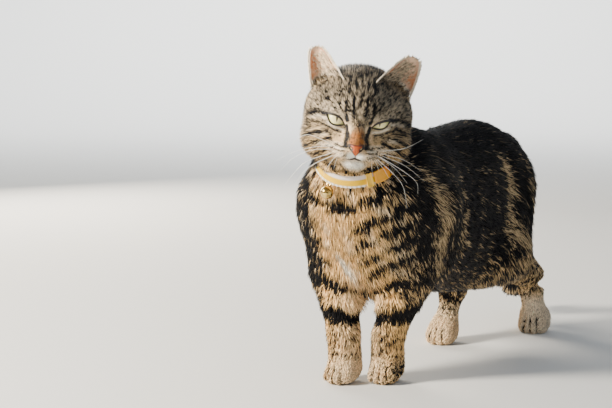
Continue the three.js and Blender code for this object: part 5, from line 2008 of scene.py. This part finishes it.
BALL_HEIGHT = -8.2  # of the ball's middle, from the strap's lower edge
HOLE_RADIUS, HOLE_OUT, HOLE_DROP = 1.1, 5.2, 1.6
UPRIGHT, ACROSS_IT = (math.pi / 2, 0, 0), (math.pi / 2, math.pi / 2, 0)
make = bpy.ops.mesh.primitive_uv_sphere_add
bell = placed(make, segments=64, ring_count=40, radius=BELL_RADIUS, location=(0, 0, BALL_HEIGHT))
bell.name = "bell_ball"
apply_modifier(bell, "SOLIDIFY", thickness=0.5, offset=-1)
slot = {"size": 1, "scale": (9.0, 1.1, 8)}
cutters = [placed(bpy.ops.mesh.primitive_cube_add, location=(0, 0, BALL_HEIGHT - 5), **slot)]
for x_way in (1, -1):
    at = (HOLE_OUT * x_way, 0, BALL_HEIGHT - HOLE_DROP)
    hole = {"vertices": 24, "radius": HOLE_RADIUS, "depth": 4, "rotation": (0, math.pi / 2, 0)}
    cutters.append(placed(bpy.ops.mesh.primitive_cylinder_add, location=at, **hole))
for cutter in cutters:
    apply_modifier(bell, "BOOLEAN", operation="DIFFERENCE", object=cutter, solver="EXACT")
    bpy.data.objects.remove(cutter)
ridge = ring(5.85, 0.38, (0, 0, BALL_HEIGHT), (0, 0, 0))
loop = ring(1.5, 0.42, (0, 0, BALL_HEIGHT + 6.2), UPRIGHT)
jump_ring = ring(1.7, 0.42, (0, 0.1, -1.6), ACROSS_IT)
only(bell, ridge, loop, jump_ring)
bpy.ops.object.join()
hang_on_strap(bell)
recalculate(bell)
bpy.ops.object.shade_smooth_by_angle(angle=math.radians(40))
eyelet = ring(2.0, 0.7, (0, 0, -0.6), UPRIGHT)
eyelet.name = "collar_eyelet"
hang_on_strap(eyelet)
recalculate(eyelet)
bpy.ops.object.shade_smooth()

material, tree, shader = new_material("brass_bell", Coat_Roughness=0.1, Metallic=1.0)
spot = object_place(tree)
tarnish = scale_between(tree, noise(tree, spot, 220, 4, 0.6), 0.4, 0.7)
rubbed = noise(tree, spot, 1700, 3, 0.6)
colour = mix(tree, tarnish, (0.74, 0.54, 0.20, 1), (0.30, 0.18, 0.05, 1))
surface(tree, shader, colour, scale_between(tree, rubbed, 0.3, 0.7, 0.10, 0.26))
relief(tree, shader, rubbed, 0.00005, 0.4)
for piece in (bell, eyelet):
    piece.data.materials.clear()
    piece.data.materials.append(material)
    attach(piece, "root")
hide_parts("bell")
print("bell:", len(bell.data.polygons), "faces, its middle at", (hang + upwards * BALL_HEIGHT).round(1))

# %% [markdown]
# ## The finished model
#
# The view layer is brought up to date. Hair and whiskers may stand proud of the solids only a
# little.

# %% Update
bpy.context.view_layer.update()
